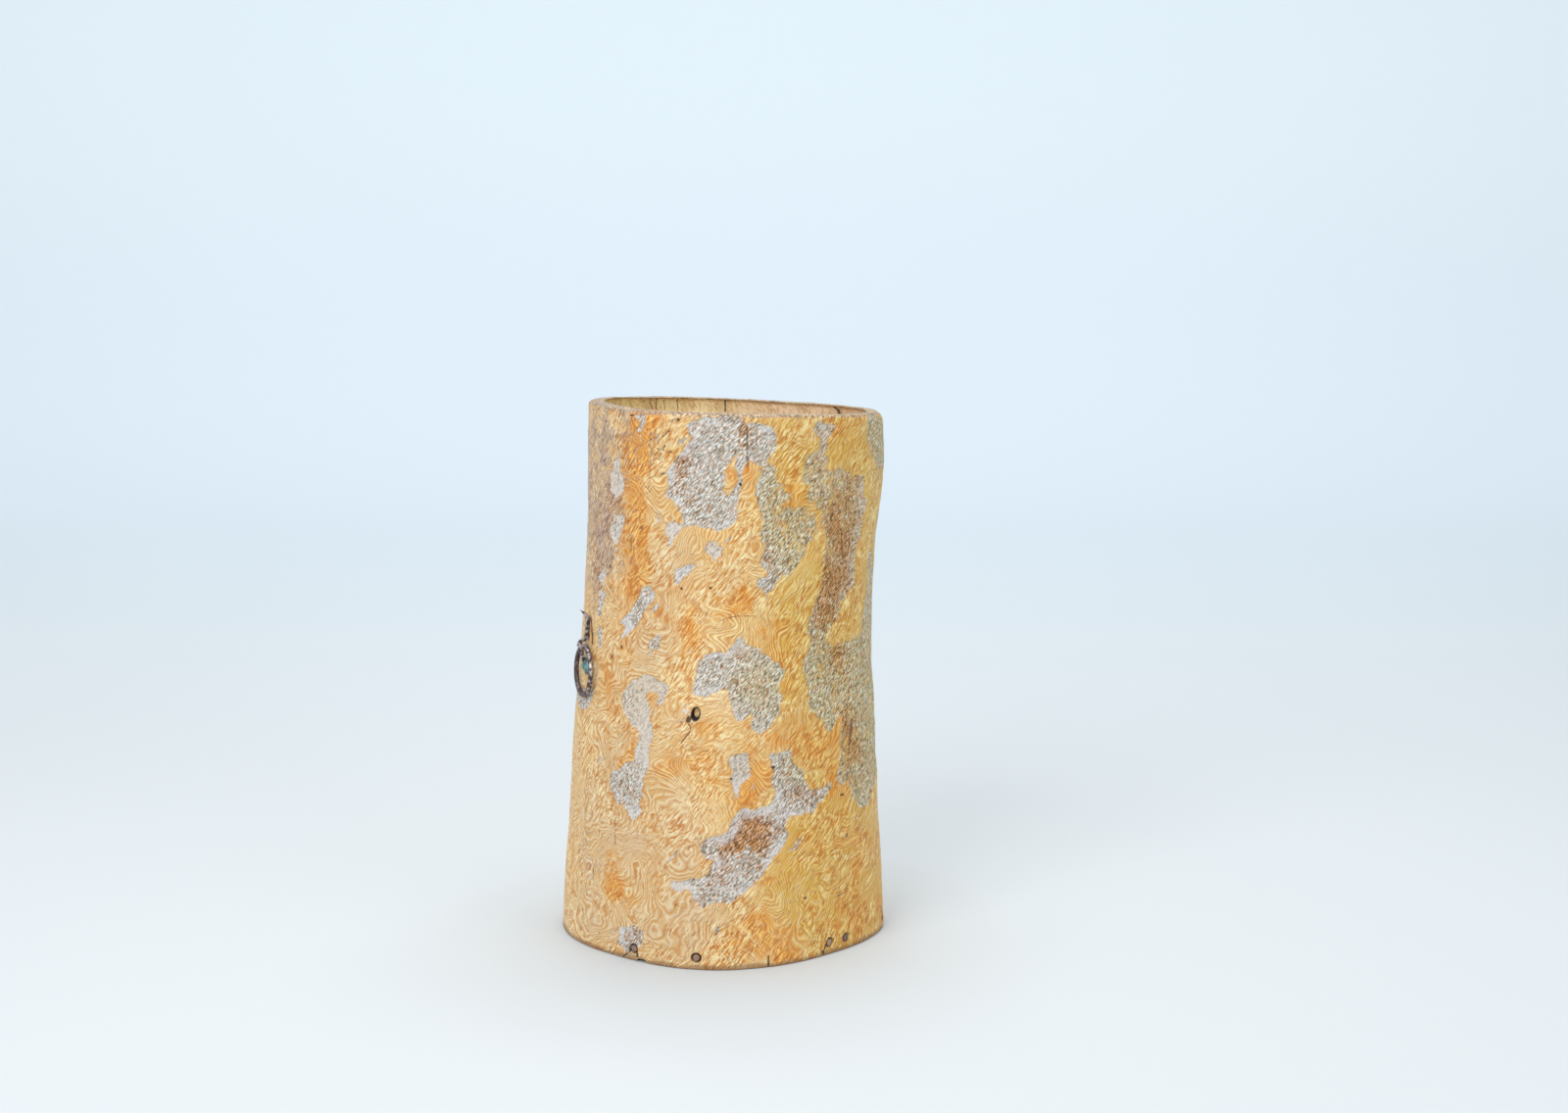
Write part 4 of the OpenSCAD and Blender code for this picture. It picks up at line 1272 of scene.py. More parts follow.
@dataclass
class Piece:
    """A piece of the object: its name, the CAD nodes that it stands for, its body and its slot."""

    name: str
    nodes: tuple[str, ...]
    slot: str
    body: str = WALL_BODY
    sharp_angle: float = math.radians(50)

    def finish(self, shape: bmesh.types.BMesh, material: bpy.types.Material,
               painted: dict[str, np.ndarray] | None = None) -> bpy.types.Object:
        """Turn a shape into the piece and hang it on its body.

        Args:
            shape: the shape, in the frame's metres; it is freed.
            material: the finish that it gets.
            painted: values for the mesh to carry, one for each vertex, by name.

        Returns:
            The piece.
        """
        mesh = bpy.data.meshes.new(self.name)
        for face in shape.faces:
            face.smooth = True
        shape.to_mesh(mesh)
        shape.free()
        mesh.set_sharp_from_angle(angle=self.sharp_angle)
        for name, values in (painted or {}).items():
            layer = mesh.attributes.new(name, "FLOAT", "POINT")
            layer.data.foreach_set("value", np.asarray(values, np.float32))
        mesh.materials.append(material)
        piece = bpy.data.objects.new(self.name, mesh)
        bpy.context.scene.collection.objects.link(piece)
        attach(piece, self.body)
        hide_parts(*self.nodes)
        LOG.info("%s: %d faces, stands for %s", self.name, len(mesh.polygons), ", ".join(self.nodes))
        return piece


@dataclass(frozen=True)
class WallSection:
    """The section of the wall, cut upright through the axis, as a closed row of places.

    A row number runs from the foot's outer edge up the outside, over the rim, down the inside,
    over the board's seat and back under the foot.
    """

    form: TrunkForm
    foot_edge: int = 3
    outside: int = 188
    crown: int = 14
    inside: int = 36
    ledge: int = 2
    seat: int = 3
    sole: int = 4
    inner_round: float = 0.0030
    outer_round: float = 0.0038
    right_round: float = 0.0050
    right_azimuth: float = math.radians(8)
    right_reach: float = math.radians(30)
    crown_turns: tuple[float, float] = (0.45, 0.62)

    @property
    def total(self) -> int:
        """Number of rows round the section."""
        return (self.foot_edge + self.outside + self.crown + self.inside + self.ledge
                + self.seat + self.sole)

    @property
    def crown_start(self) -> int:
        """Row at which the rim starts to round over."""
        return self.foot_edge + self.outside

    def edge_round(self, azimuth: np.ndarray) -> np.ndarray:
        """Radius that the rim's outer edge is worn to, larger on the right."""
        away = wrap(azimuth - self.right_azimuth) / self.right_reach
        return self.outer_round + self.right_round * np.exp(-away ** 2)

    def at(self, azimuth: np.ndarray, row: np.ndarray) -> tuple[np.ndarray, np.ndarray]:
        """Find places on the section.

        Args:
            azimuth: the section's azimuth for each place.
            row: the row number for each place, which may lie between two rows.

        Returns:
            The distance from the axis, and the height.
        """
        out, up = np.zeros_like(azimuth), np.zeros_like(azimuth)
        stretches = (
            (self.foot_edge, self._foot_edge), (self.outside, self._outside),
            (self.crown, self._crown), (self.inside, self._inside), (self.ledge, self._ledge),
            (self.seat, self._seat), (self.sole, self._sole))
        start = 0
        for count, shape in stretches:
            here = (row >= start - 1e-6) & (row < start + count - 1e-6)
            out[here], up[here] = shape(azimuth[here], np.clip((row[here] - start) / count, 0, 1))
            start += count
        return out, up

    def _foot_edge(self, azimuth: np.ndarray, share: np.ndarray) -> tuple[np.ndarray, np.ndarray]:
        """Round the foot's outer edge."""
        edge, angle = self.form.foot_round, share * math.pi / 2
        return (self.form.radius(azimuth, edge) - edge * (1 - np.sin(angle)),
                edge * (1 - np.cos(angle)))

    def _outside(self, azimuth: np.ndarray, share: np.ndarray) -> tuple[np.ndarray, np.ndarray]:
        """Go up the outside."""
        low, high = self.form.foot_round, self.form.rim_height(azimuth) - self.edge_round(azimuth)
        up = low + share * (high - low)
        return self.form.radius(azimuth, up), up

    def _crown(self, azimuth: np.ndarray, share: np.ndarray) -> tuple[np.ndarray, np.ndarray]:
        """Round over the rim, by a large curve outside and a small one inside."""
        rim, edge = self.form.rim_height(azimuth), self.edge_round(azimuth)
        outer = self.form.radius(azimuth, rim - edge)
        inner = self.form.inner_radius(azimuth, rim - self.inner_round)
        reach = np.minimum(edge, 0.6 * (outer - inner - self.inner_round))
        over, down = self.crown_turns
        first = np.clip(share / over, 0, 1) * math.pi / 2
        last = (1 - np.clip((share - down) / (1 - down), 0, 1)) * math.pi / 2
        across = np.clip((share - over) / (down - over), 0, 1)
        top = (outer - reach) + across * (inner + self.inner_round - outer + reach)
        out = np.where(share < over, outer - reach * (1 - np.cos(math.pi / 2 - first + 0 * first)), top)
        out = np.where(share < over, outer - reach * (1 - np.cos(first)), out)
        out = np.where(share > down, inner + self.inner_round * (1 - np.sin(last)), out)
        up = np.where(share < over, rim - edge * (1 - np.sin(first)), rim)
        up = np.where(share > down, rim - self.inner_round * (1 - np.sin(last)), up)
        return out, up

    def _inside(self, azimuth: np.ndarray, share: np.ndarray) -> tuple[np.ndarray, np.ndarray]:
        """Go down the inside."""
        high = self.form.rim_height(azimuth) - self.inner_round
        up = high + share * (self.form.seat_top - high)
        return self.form.inner_radius(azimuth, up), up

    def _ledge(self, azimuth: np.ndarray, share: np.ndarray) -> tuple[np.ndarray, np.ndarray]:
        """Go out over the board's top edge."""
        up = np.full_like(azimuth, self.form.seat_top)
        return self.form.inner_radius(azimuth, up) + share * self.form.seat_depth, up

    def _seat(self, azimuth: np.ndarray, share: np.ndarray) -> tuple[np.ndarray, np.ndarray]:
        """Go down the side of the board's seat."""
        return self.form.seat_radius(azimuth), self.form.seat_top * (1 - share)

    def _sole(self, azimuth: np.ndarray, share: np.ndarray) -> tuple[np.ndarray, np.ndarray]:
        """Go out under the foot."""
        start = self.form.seat_radius(azimuth)
        end = self.form.radius(azimuth, self.form.foot_round) - self.form.foot_round
        return start + share * (end - start), np.zeros_like(azimuth)


@dataclass(frozen=True)
class Score:
    """A straight piece of a mark on the unrolled wall."""

    start: np.ndarray
    end: np.ndarray
    half_width: float
    ink: Ink

    def beside(self, spots: np.ndarray) -> np.ndarray:
        """Say where places lie beside the mark, in half widths.

        Args:
            spots: places on the unrolled wall, one row each.

        Returns:
            How far across it and along it each lies from its middle, and half its length.
        """
        run = self.end - self.start
        length = float(np.hypot(*run))
        ahead = run / length if length > 0 else np.array([0.0, 1.0])
        reach = spots - (self.start + self.end) / 2
        across = reach @ np.array([ahead[1], -ahead[0]])
        half = np.full(len(spots), length / 2)
        return np.stack([across, reach @ ahead, half], axis=1) / self.half_width

    def distance(self, spots: np.ndarray) -> np.ndarray:
        """Distance from places to the mark, in metres."""
        across, along, half = (self.beside(spots) * self.half_width).T
        return np.hypot(across, np.maximum(np.abs(along) - half, 0))


@dataclass
class SoftMap:
    """Soft spots of the view laid out on the unrolled wall, and folded over to its back."""

    sight: Sighting
    blobs: Sequence[Blob]
    folded: bool = True
    spots: list[tuple[np.ndarray, float, float, float]] = field(default_factory=list)

    def __post_init__(self) -> None:
        """Find each spot's place and reach on the wall."""
        for blob in self.blobs:
            ends = [(blob.x - blob.across, blob.y), (blob.x + blob.across, blob.y),
                    (blob.x, blob.y), (blob.x, blob.y - blob.up), (blob.x, blob.y + blob.up)]
            flat = self.sight.form.unroll(self.sight.find(ends))
            across = abs(flat[1, 0] - flat[0, 0]) / 2
            up = abs(flat[3, 1] - flat[4, 1]) / 2
            self.spots.append((flat[2], max(across, 0.002), max(up, 0.002), blob.strength))

    def at(self, flat: np.ndarray) -> np.ndarray:
        """Add the spots up at places on the unrolled wall."""
        reach = self.sight.form.arc_radius
        turn = flat[:, 0] / reach
        if self.folded:
            turn = np.where(np.abs(turn) > math.pi / 2, np.sign(turn) * math.pi - turn, turn)
        total = np.zeros(len(flat))
        for middle, across, up, strength in self.spots:
            near = ((turn * reach - middle[0]) / across) ** 2 + ((flat[:, 1] - middle[1]) / up) ** 2
            total += strength * np.exp(-near)
        return total


@dataclass
class BarePatches:
    """The bare patches' outlines on the unrolled wall, with their echoes on the back."""

    sight: Sighting
    reach: float = 0.012
    outlines: list[np.ndarray] = field(default_factory=list)
    islands: list[np.ndarray] = field(default_factory=list)

    def __post_init__(self) -> None:
        """Lay the outlines out, and turn some of them round to the back."""
        by_name: dict[str, np.ndarray] = {}
        for patch in PATCHES:
            flat = self.sight.form.unroll(self.sight.find(patch.outline))
            by_name[patch.name] = flat
            (self.islands if patch.island else self.outlines).append(rounded(flat))
        for echo in ECHOES:
            flat = by_name[echo.source]
            shape = flat - (flat.min(0) + flat.max(0)) / 2
            shape = shape * (echo.size * (-1 if echo.mirrored else 1),
                             echo.size * (-1 if echo.upside_down else 1))
            middle = np.array([math.radians(echo.turn) * self.sight.form.arc_radius, echo.height])
            self.outlines.append(rounded(shape + middle))

    def at(self, flat: np.ndarray) -> np.ndarray:
        """Find how far places lie from the bare patches, negative inside them."""
        depth = np.full(len(flat), self.reach)
        for outline in self.outlines:
            near, distance = self._distance(flat, outline)
            depth[near] = np.minimum(depth[near], distance)
        for outline in self.islands:
            near, distance = self._distance(flat, outline)
            depth[near] = np.maximum(depth[near], -distance)
        return depth

    def _distance(self, flat: np.ndarray, outline: np.ndarray) -> tuple[np.ndarray, np.ndarray]:
        """Find the places near an outline and how far from it they lie."""
        round_wall = self.sight.form.arc_radius
        low, high = outline.min(0) - self.reach, outline.max(0) + self.reach
        middle = (low[0] + high[0]) / 2
        across = middle + wrap((flat[:, 0] - middle) / round_wall) * round_wall
        near = np.flatnonzero((across > low[0]) & (across < high[0])
                              & (flat[:, 1] > low[1]) & (flat[:, 1] < high[1]))
        spots = np.stack([across[near], flat[near, 1]], axis=1)
        return near, signed_distance(spots, outline) if len(near) else np.zeros(0)


@dataclass
class Pegs:
    """The pegs through the foot, each from the bottom board's edge to just inside the wall's face."""

    form: TrunkForm
    azimuths: tuple[float, ...] = (180, 234.2, 260.6, 316.5, 325.2, 354.1, 32, 70, 105, 143)
    ages: tuple[float, ...] = (0.5, 0.4, 0.3, 0.0, 1.0, 0.9, 0.5, 0.2, 0.8, 0.4)
    height: float = 0.009
    radius: float = 0.0032
    depth: float = 0.020
    sunk: float = 0.0007
    sides: int = 9

    def build(self, material: bpy.types.Material) -> None:
        """Whittle each peg and set it in its hole."""
        for number, (degrees, age) in enumerate(zip(self.azimuths, self.ages), start=1):
            azimuth = math.radians(degrees)
            inner = float(self.form.seat_radius(np.array([azimuth]))[0]) - self.depth
            outer = float(self.form.radius(azimuth, self.height)) - self.sunk
            profile = ((inner, 0.5), (inner + 0.004, 0.93), (outer - 0.0022, 0.97),
                       (outer - 0.0007, 0.96), (outer - 0.0001, 0.86), (outer + 0.0001, 0.6),
                       (outer + 0.0002, 0.3), (outer + 0.0002, 0.02))
            lie = Matrix.Rotation(azimuth, 4, "Z") @ Matrix.Translation((0, 0, self.height))
            stations = [Station(lie @ Matrix.Translation((out, 0, 0)) @ Matrix.Rotation(math.pi / 2, 4, "Y")
                                @ Matrix.Rotation(math.radians(37 * number), 4, "Z"), share * self.radius)
                        for out, share in profile]
            shape = swept(stations, self.sides)
            found = places(shape)
            heart_line = np.array([math.cos(azimuth), math.sin(azimuth), 0])
            along = found @ heart_line
            off = found - np.outer(along, heart_line) - np.array([0, 0, self.height])
            facets = 1 - 0.10 * np.abs(noise_field(off * 1.0 + 0.01 * number, 300, number))
            chisel = 0.0005 * noise_field(found, 260, 3.1 * number) * ease(along, outer - 0.003, outer)
            move_to(shape, found - off * (1 - facets)[:, None] + np.outer(chisel, heart_line))
            heart = np.linalg.norm(off, axis=1) / self.radius
            piece = Piece(f"whittled_peg_{number}", (f"bottom_peg_{number}",), "peg_wood",
                          sharp_angle=math.radians(32))
            piece.finish(shape, material, {"heart": heart, "age": np.full(len(heart), age)})


@dataclass
class Trunk:
    """The hollowed length of burl trunk: wall, rim and foot in one."""

    form: TrunkForm
    sight: Sighting
    pegs: Pegs
    columns: int = 332
    row_step: float = 0.01
    front_share: float = 0.25
    fitting_turn: float = math.radians(-70.4)
    fitting_height: float = 0.215
    knot_pixel: Pixel = (710.0, 728.8)
    knot_across: float = 0.0033
    knot_up: float = 0.0050
    knot_depth: float = 0.0030
    knot_tilt: float = math.radians(-10)
    knot_heart: float = 0.20
    heart_offset: tuple[float, float] = (0.0006, 0.0006)
    peg_pit: float = 0.0030
    peg_pit_radius: float = 0.0036
    patch_depth: float = 0.0008
    chip_pixel: Pixel = (654.5, 981)
    mark_reach: float = 0.006
    far_away: float = 1000.0

    def __post_init__(self) -> None:
        """Work out the section and the places that the view's pixels show."""
        self.section = WallSection(self.form)
        self.knot = self.form.unroll(self.sight.find([self.knot_pixel]))[0]
        self.chip = self.form.unroll(self.sight.find([self.chip_pixel]))[0]

    def build(self) -> bpy.types.Object:
        """Build the trunk and dress it."""
        shape, turn, row = self.spun_wall()
        azimuth = turn - math.pi / 2
        out, up = self.section.at(azimuth, row % self.section.total)
        flat = np.stack([turn * self.form.arc_radius, up], axis=1)
        smooth = np.stack([out * np.cos(azimuth), out * np.sin(azimuth), up], axis=1)
        bare = BarePatches(self.sight).at(flat)
        outward = self.relief(smooth, flat, row, bare)
        push, lift = self.crown_wear(smooth, row)
        moved = smooth + np.stack([np.cos(azimuth), np.sin(azimuth), 0 * azimuth], 1) * (outward + push)[:, None]
        moved[:, 2] += lift + self.chip_lift(flat, row)
        move_to(shape, moved)
        self.lay_out_bake(shape, turn, row)
        bmesh.ops.recalc_face_normals(shape, faces=shape.faces)
        painted = self.painted(flat, smooth, row, bare)
        piece = Piece("burl_trunk", ("trunk",), "trunk_wood", sharp_angle=math.radians(75))
        trunk = piece.finish(shape, BurlWood().make(), painted)
        self.score_marks(trunk.data, flat, painted["inside"])
        return trunk

    def spun_wall(self) -> tuple[bmesh.types.BMesh, np.ndarray, np.ndarray]:
        """Spin the section's rows into a tube, finer near the pegs and the knot.

        The tube has a radius of 1 and its rows lie one above the other, so that each vertex
        tells its turn and its row; the wall's own form is given to it afterwards.

        Returns:
            The tube, and the turn and the row of each of its vertices.
        """
        shape = bmesh.new()
        rows = self.section.total
        column = [shape.verts.new((0.0, -1.0, i * self.row_step)) for i in range(rows)]
        edges = [shape.edges.new((a, b)) for a, b in zip(column, column[1:] + column[:1])]
        bmesh.ops.spin(shape, geom=column + edges, cent=(0, 0, 0), axis=(0, 0, 1), angle=2 * math.pi,
                       steps=self.columns, use_merge=True, use_duplicate=False)
        for cuts, reach in ((1, 0.010), (1, 0.0055)):
            turn, row = self.turn_and_row(shape)
            near = self.near_detail(turn, row, reach)
            verts = list(shape.verts)
            chosen = [edge for edge in shape.edges
                      if near[edge.verts[0].index] and near[edge.verts[1].index]]
            LOG.info("wall: %d vertices, cutting %d edges", len(verts), len(chosen))
            bmesh.ops.subdivide_edges(shape, edges=chosen, cuts=cuts, use_grid_fill=True)
        return (shape, *self.turn_and_row(shape))

    def turn_and_row(self, shape: bmesh.types.BMesh) -> tuple[np.ndarray, np.ndarray]:
        """Read the turn and the row of each vertex of the tube, columns closer in front."""
        shape.verts.ensure_lookup_table()
        shape.verts.index_update()
        found = places(shape)
        even = np.arctan2(found[:, 0], -found[:, 1])
        return even - self.front_share * np.sin(even), found[:, 2] / self.row_step

    def near_detail(self, turn: np.ndarray, row: np.ndarray, reach: float) -> np.ndarray:
        """Tell which places on the outside are near a peg, the knot or the chip."""
        _, up = self.section.at(turn - math.pi / 2, np.clip(row, 0, self.section.total - 0.01))
        flat = np.stack([turn * self.form.arc_radius, up], axis=1)
        near = np.hypot(*(flat - self.knot).T) < reach + 0.003
        near |= np.hypot(*(flat - self.chip).T) < reach
        near |= self.peg_distance(flat) < reach
        return near & (row < self.section.crown_start)

    def peg_distance(self, flat: np.ndarray) -> np.ndarray:
        """Distance on the unrolled wall to the nearest peg's middle."""
        nearest = np.full(len(flat), 1.0)
        for degrees in self.pegs.azimuths:
            turn = math.radians(degrees) + math.pi / 2
            across = wrap(flat[:, 0] / self.form.arc_radius - turn) * self.form.arc_radius
            nearest = np.minimum(nearest, np.hypot(across, flat[:, 1] - self.pegs.height))
        return nearest

    def knot_share(self, flat: np.ndarray) -> np.ndarray:
        """Distance to the knot's middle, as a share of its tilted oval."""
        across, up = (flat - self.knot).T
        cosine, sine = math.cos(self.knot_tilt), math.sin(self.knot_tilt)
        return np.hypot((across * cosine + up * sine) / self.knot_across,
                        (up * cosine - across * sine) / self.knot_up)

    def heart(self, flat: np.ndarray) -> np.ndarray:
        """How far places belong to the knot's loose heart, which sits off its middle."""
        return ease(self.knot_share(flat - np.array(self.heart_offset)), 0.80, 0.50)

    def outer_share(self, row: np.ndarray) -> np.ndarray:
        """How far a row belongs to the outside: 1 on it, 0 from the rim's crest inwards."""
        start, sole = self.section.crown_start, self.section.total - self.section.sole
        over = ease(row, start + 0.45 * self.section.crown, start)
        under = ease(row, sole, self.section.total)
        return np.where(row > sole, under, over)

    def relief(self, smooth: np.ndarray, flat: np.ndarray, row: np.ndarray,
               bare: np.ndarray) -> np.ndarray:
        """Work out how far the surface stands out from the smooth form.

        Args:
            smooth: places on the smooth form.
            flat: the same places unrolled.
            row: their rows.
            bare: their distance from the bare patches.

        Returns:
            The distance outwards for each place, in metres.
        """
        lumps = 0.0011 * noise_field(smooth, 15) + 0.0005 * noise_field(smooth, 42, 5)
        lumps += 0.00022 * noise_field(smooth, 130, 9)
        lumps += SoftMap(self.sight, HOLLOWS).at(flat)
        hollow = ease(bare, 0.0008, -0.0014)
        rough = hollow * (0.00016 * noise_field(smooth, 420, 3) - self.patch_depth)
        away = np.hypot((flat[:, 0] / self.form.arc_radius - self.fitting_turn) * self.form.arc_radius,
                        0.8 * (flat[:, 1] - self.fitting_height))
        total = (lumps + rough) * ease(away, 0.024, 0.050)
        peg = self.peg_distance(flat)
        total = total * ease(peg, 0.0045, 0.012)
        total -= self.peg_pit * ease(peg, self.peg_pit_radius + 0.0004, self.peg_pit_radius - 0.0004)
        knot = self.knot_share(flat)
        total -= self.knot_depth * (ease(knot, 1.05, 0.55) - 0.6 * self.heart(flat))
        total += 0.0007 * ease(knot, 2.4, 1.4) * ease(knot, 0.9, 1.3)
        total *= self.outer_share(row)
        inner = (row > self.section.crown_start + 0.7 * self.section.crown)
        inner &= row < self.section.crown_start + self.section.crown + self.section.inside
        deep = ease(row, self.section.crown_start + 0.7 * self.section.crown,
                    self.section.crown_start + self.section.crown + 5)
        gouged = 0.0006 * noise_field(smooth * (1, 1, 0.35), 55, 21)
        return np.where(inner, gouged * deep, total)

    def crown_wear(self, smooth: np.ndarray, row: np.ndarray) -> tuple[np.ndarray, np.ndarray]:
        """Dent the rim a little: how far inwards or outwards, and how far up."""
        start = self.section.crown_start
        on_rim = ease(row, start - 6, start + 3) * ease(row, start + self.section.crown + 4,
                                                        start + self.section.crown - 2)
        push = 0.00035 * noise_field(smooth, 90, 31) * on_rim
        lift = (0.0007 * noise_field(smooth, 24, 37) + 0.0003 * noise_field(smooth, 85, 41)) * on_rim
        return push, lift

    def chip_lift(self, flat: np.ndarray, row: np.ndarray) -> np.ndarray:
        """Lift the foot's lower edge where a chip is out of it."""
        across = np.abs(flat[:, 0] - self.chip[0])
        low = ease(row, 7, 0) + (row > self.section.total - 2.5)
        return 0.0022 * ease(across, 0.0052, 0.0025) * np.clip(low, 0, 1)

    def painted(self, flat: np.ndarray, smooth: np.ndarray, row: np.ndarray,
                bare: np.ndarray) -> dict[str, np.ndarray]:
        """Work out the values that the mesh carries for its finish.

        Args:
            flat: each vertex's place on the unrolled wall.
            smooth: its place on the smooth form.
            row: its row.
            bare: its distance from the bare patches.

        Returns:
            The values by name, one for each vertex.
        """
        start, crown = self.section.crown_start, self.section.crown
        rim = self.form.rim_height(flat[:, 0] / self.form.arc_radius - math.pi / 2)
        below_rim = rim - flat[:, 1]
        outside = row < start + 0.5 * crown
        band = np.where(outside, ease(below_rim, 0.0034, 0.0006), ease(below_rim, 0.0016, 0.0002))
        foot = 0.35 * ease(flat[:, 1], 0.0022, 0.0002)
        peg, knot = self.peg_distance(flat), self.knot_share(flat)
        inside = ease(row, start + 0.60 * crown, start + 0.92 * crown)
        inside = np.where(row > self.section.total - self.section.sole + 1.5, 0.0, inside)
        # Painted shade: an uneven dark ring in the gap round each peg and round the knot, lighter over the knot's
        # heart, only on the outside.
        gap = ease(peg, self.peg_pit_radius + 0.0005, self.peg_pit_radius - 0.0002)
        gap *= np.clip(0.75 + 1.1 * noise_field(smooth, 170, 77), 0, 1)
        heart = (1 - self.knot_heart) * self.heart(flat)
        pit_shade = np.maximum(gap, 1.1 * ease(knot, 1.20, 1.0) - heart)
        pit_shade = pit_shade * (row < start)
        # Dirt all over the outside, with a dark band in the foot's lowest few millimetres that is painted contact
        # shadow as well as dirt; inside, darker further down.
        dirt_and_shade = np.where(outside, 0.05 + 1.0 * ease(flat[:, 1], 0.007, 0.0004),
                         0.20 + 0.5 * ease(flat[:, 1], 0.16, 0.03))
        return {
            "bare": bare,
            "stain": SoftMap(self.sight, STAINS).at(flat) + 0.25 * ease(noise_field(smooth, 18, 51), 0.1, 0.5),
            "tone": SoftMap(self.sight, TONES).at(flat),
            "weather": SoftMap(self.sight, WEATHERED).at(flat),
            "olive": SoftMap(self.sight, OLIVE).at(flat),
            "golden": SoftMap(self.sight, GOLDEN).at(flat),
            "faded": SoftMap(self.sight, FADED).at(flat),
            "swirl": SoftMap(self.sight, EYES).at(flat),
            "inside": inside,
            "rub": np.clip(np.maximum(band, foot), 0, 1),
            "dirt_and_shade": dirt_and_shade,
            "pit_shade": 0.92 * pit_shade,
        }

    def lay_out_bake(self, shape: bmesh.types.BMesh, turn: np.ndarray, row: np.ndarray) -> None:
        """Lay the wall out flat once, with no overlap, for a picture of its finish."""
        layer = shape.loops.layers.uv.new("OFBake")
        rows = self.section.total
        shape.verts.index_update()
        for face in shape.faces:
            turns = np.array([turn[loop.vert.index] for loop in face.loops])
            levels = np.array([row[loop.vert.index] for loop in face.loops])
            if turns.max() - turns.min() > math.pi:
                side = 1 if turns.mean() > 0 or face.calc_center_median().x > 0 else -1
                turns = np.where(turns * side < 0, turns + side * 2 * math.pi, turns)
            if levels.max() - levels.min() > rows / 2:
                levels = np.where(levels < rows / 2, levels + rows, levels)
            for loop, angle, level in zip(face.loops, turns, levels):
                loop[layer].uv = (angle / (2 * math.pi) + 0.5, level / rows)

    def scores(self) -> dict[Side, list[Score]]:
        """Lay the marks out on the unrolled wall, piece by piece."""
        laid: dict[Side, list[Score]] = {side: [] for side in Side}
        for mark in MARKS:
            found = self.sight.find(mark.path, mark.side)
            if mark.side is Side.INSIDE:
                found = found * (1, -1, 1)
            flat = list(self.form.unroll(found))
            if mark.falls:
                run = (flat[-1][0] - flat[0][0]) / 3
                flat[0] = flat[0] + (0, 0.006)
                flat.append(flat[-1] + (run, -0.5 * mark.falls))
                flat.append(flat[-1] - (run, 0.5 * mark.falls))
            for start, end in zip(flat, flat[1:]):
                laid[mark.side].append(Score(start, end, mark.half_width, mark.ink))
        for hidden in HIDDEN_MARKS:
            across = math.radians(hidden.turn) * self.form.arc_radius
            top, bottom = np.array([across, hidden.top]), np.array([across, hidden.bottom])
            middle = (top + bottom) / 2 + (hidden.lean, 0)
            laid[Side.OUTSIDE].append(Score(top, middle, hidden.half_width, hidden.ink))
            laid[Side.OUTSIDE].append(Score(middle, bottom, 0.7 * hidden.half_width, hidden.ink))
        return laid

    def score_marks(self, mesh: bpy.types.Mesh, flat: np.ndarray, inside: np.ndarray) -> None:
        """Let each corner of the mesh carry where it lies beside the mark nearest to its face.

        A place beside a straight mark changes evenly over a face, so that a mark finer than the
        faces still keeps its true width and course.

        Args:
            mesh: the trunk's mesh.
            flat: each vertex's place on the unrolled wall.
            inside: how far each vertex is on the inside.
        """
        counts, corners = np.zeros(len(mesh.polygons), int), np.zeros(len(mesh.loops), int)
        mesh.polygons.foreach_get("loop_total", counts)
        mesh.loops.foreach_get("vertex_index", corners)
        faces = np.repeat(np.arange(len(counts)), counts)
        starts = np.cumsum(counts) - counts
        score = np.tile(np.array([self.far_away, 0.0, 0.0]), (len(corners), 1))
        ink = np.tile(np.array(Ink.DARK.paint), (len(corners), 1))
        for side, laid in self.scores().items():
            turn = flat[:, 0] / self.form.arc_radius
            if side is Side.INSIDE:
                turn = wrap(math.pi - turn)
            first = turn[corners[starts]]
            round_first = first[faces] + wrap(turn[corners] - first[faces])
            spots = np.stack([round_first * self.form.arc_radius, flat[corners, 1]], axis=1)
            middles = np.add.reduceat(spots, starts) / counts[:, None]
            apart = np.array([one.distance(middles) for one in laid])
            nearest = apart.argmin(0)
            within = np.add.reduceat(inside[corners], starts) / counts > 0.5
            near = (apart.min(0) < self.mark_reach) & (within == (side is Side.INSIDE))
            for number, one in enumerate(laid):
                chosen = (near & (nearest == number))[faces]
                score[chosen] = one.beside(spots[chosen])
                ink[chosen] = one.ink.paint
        mesh.attributes.new("score", "FLOAT_VECTOR", "CORNER").data.foreach_set(
            "vector", score.astype(np.float32).ravel())
        mesh.attributes.new("ink", "FLOAT_COLOR", "CORNER").data.foreach_set(
            "color", ink.astype(np.float32).ravel())


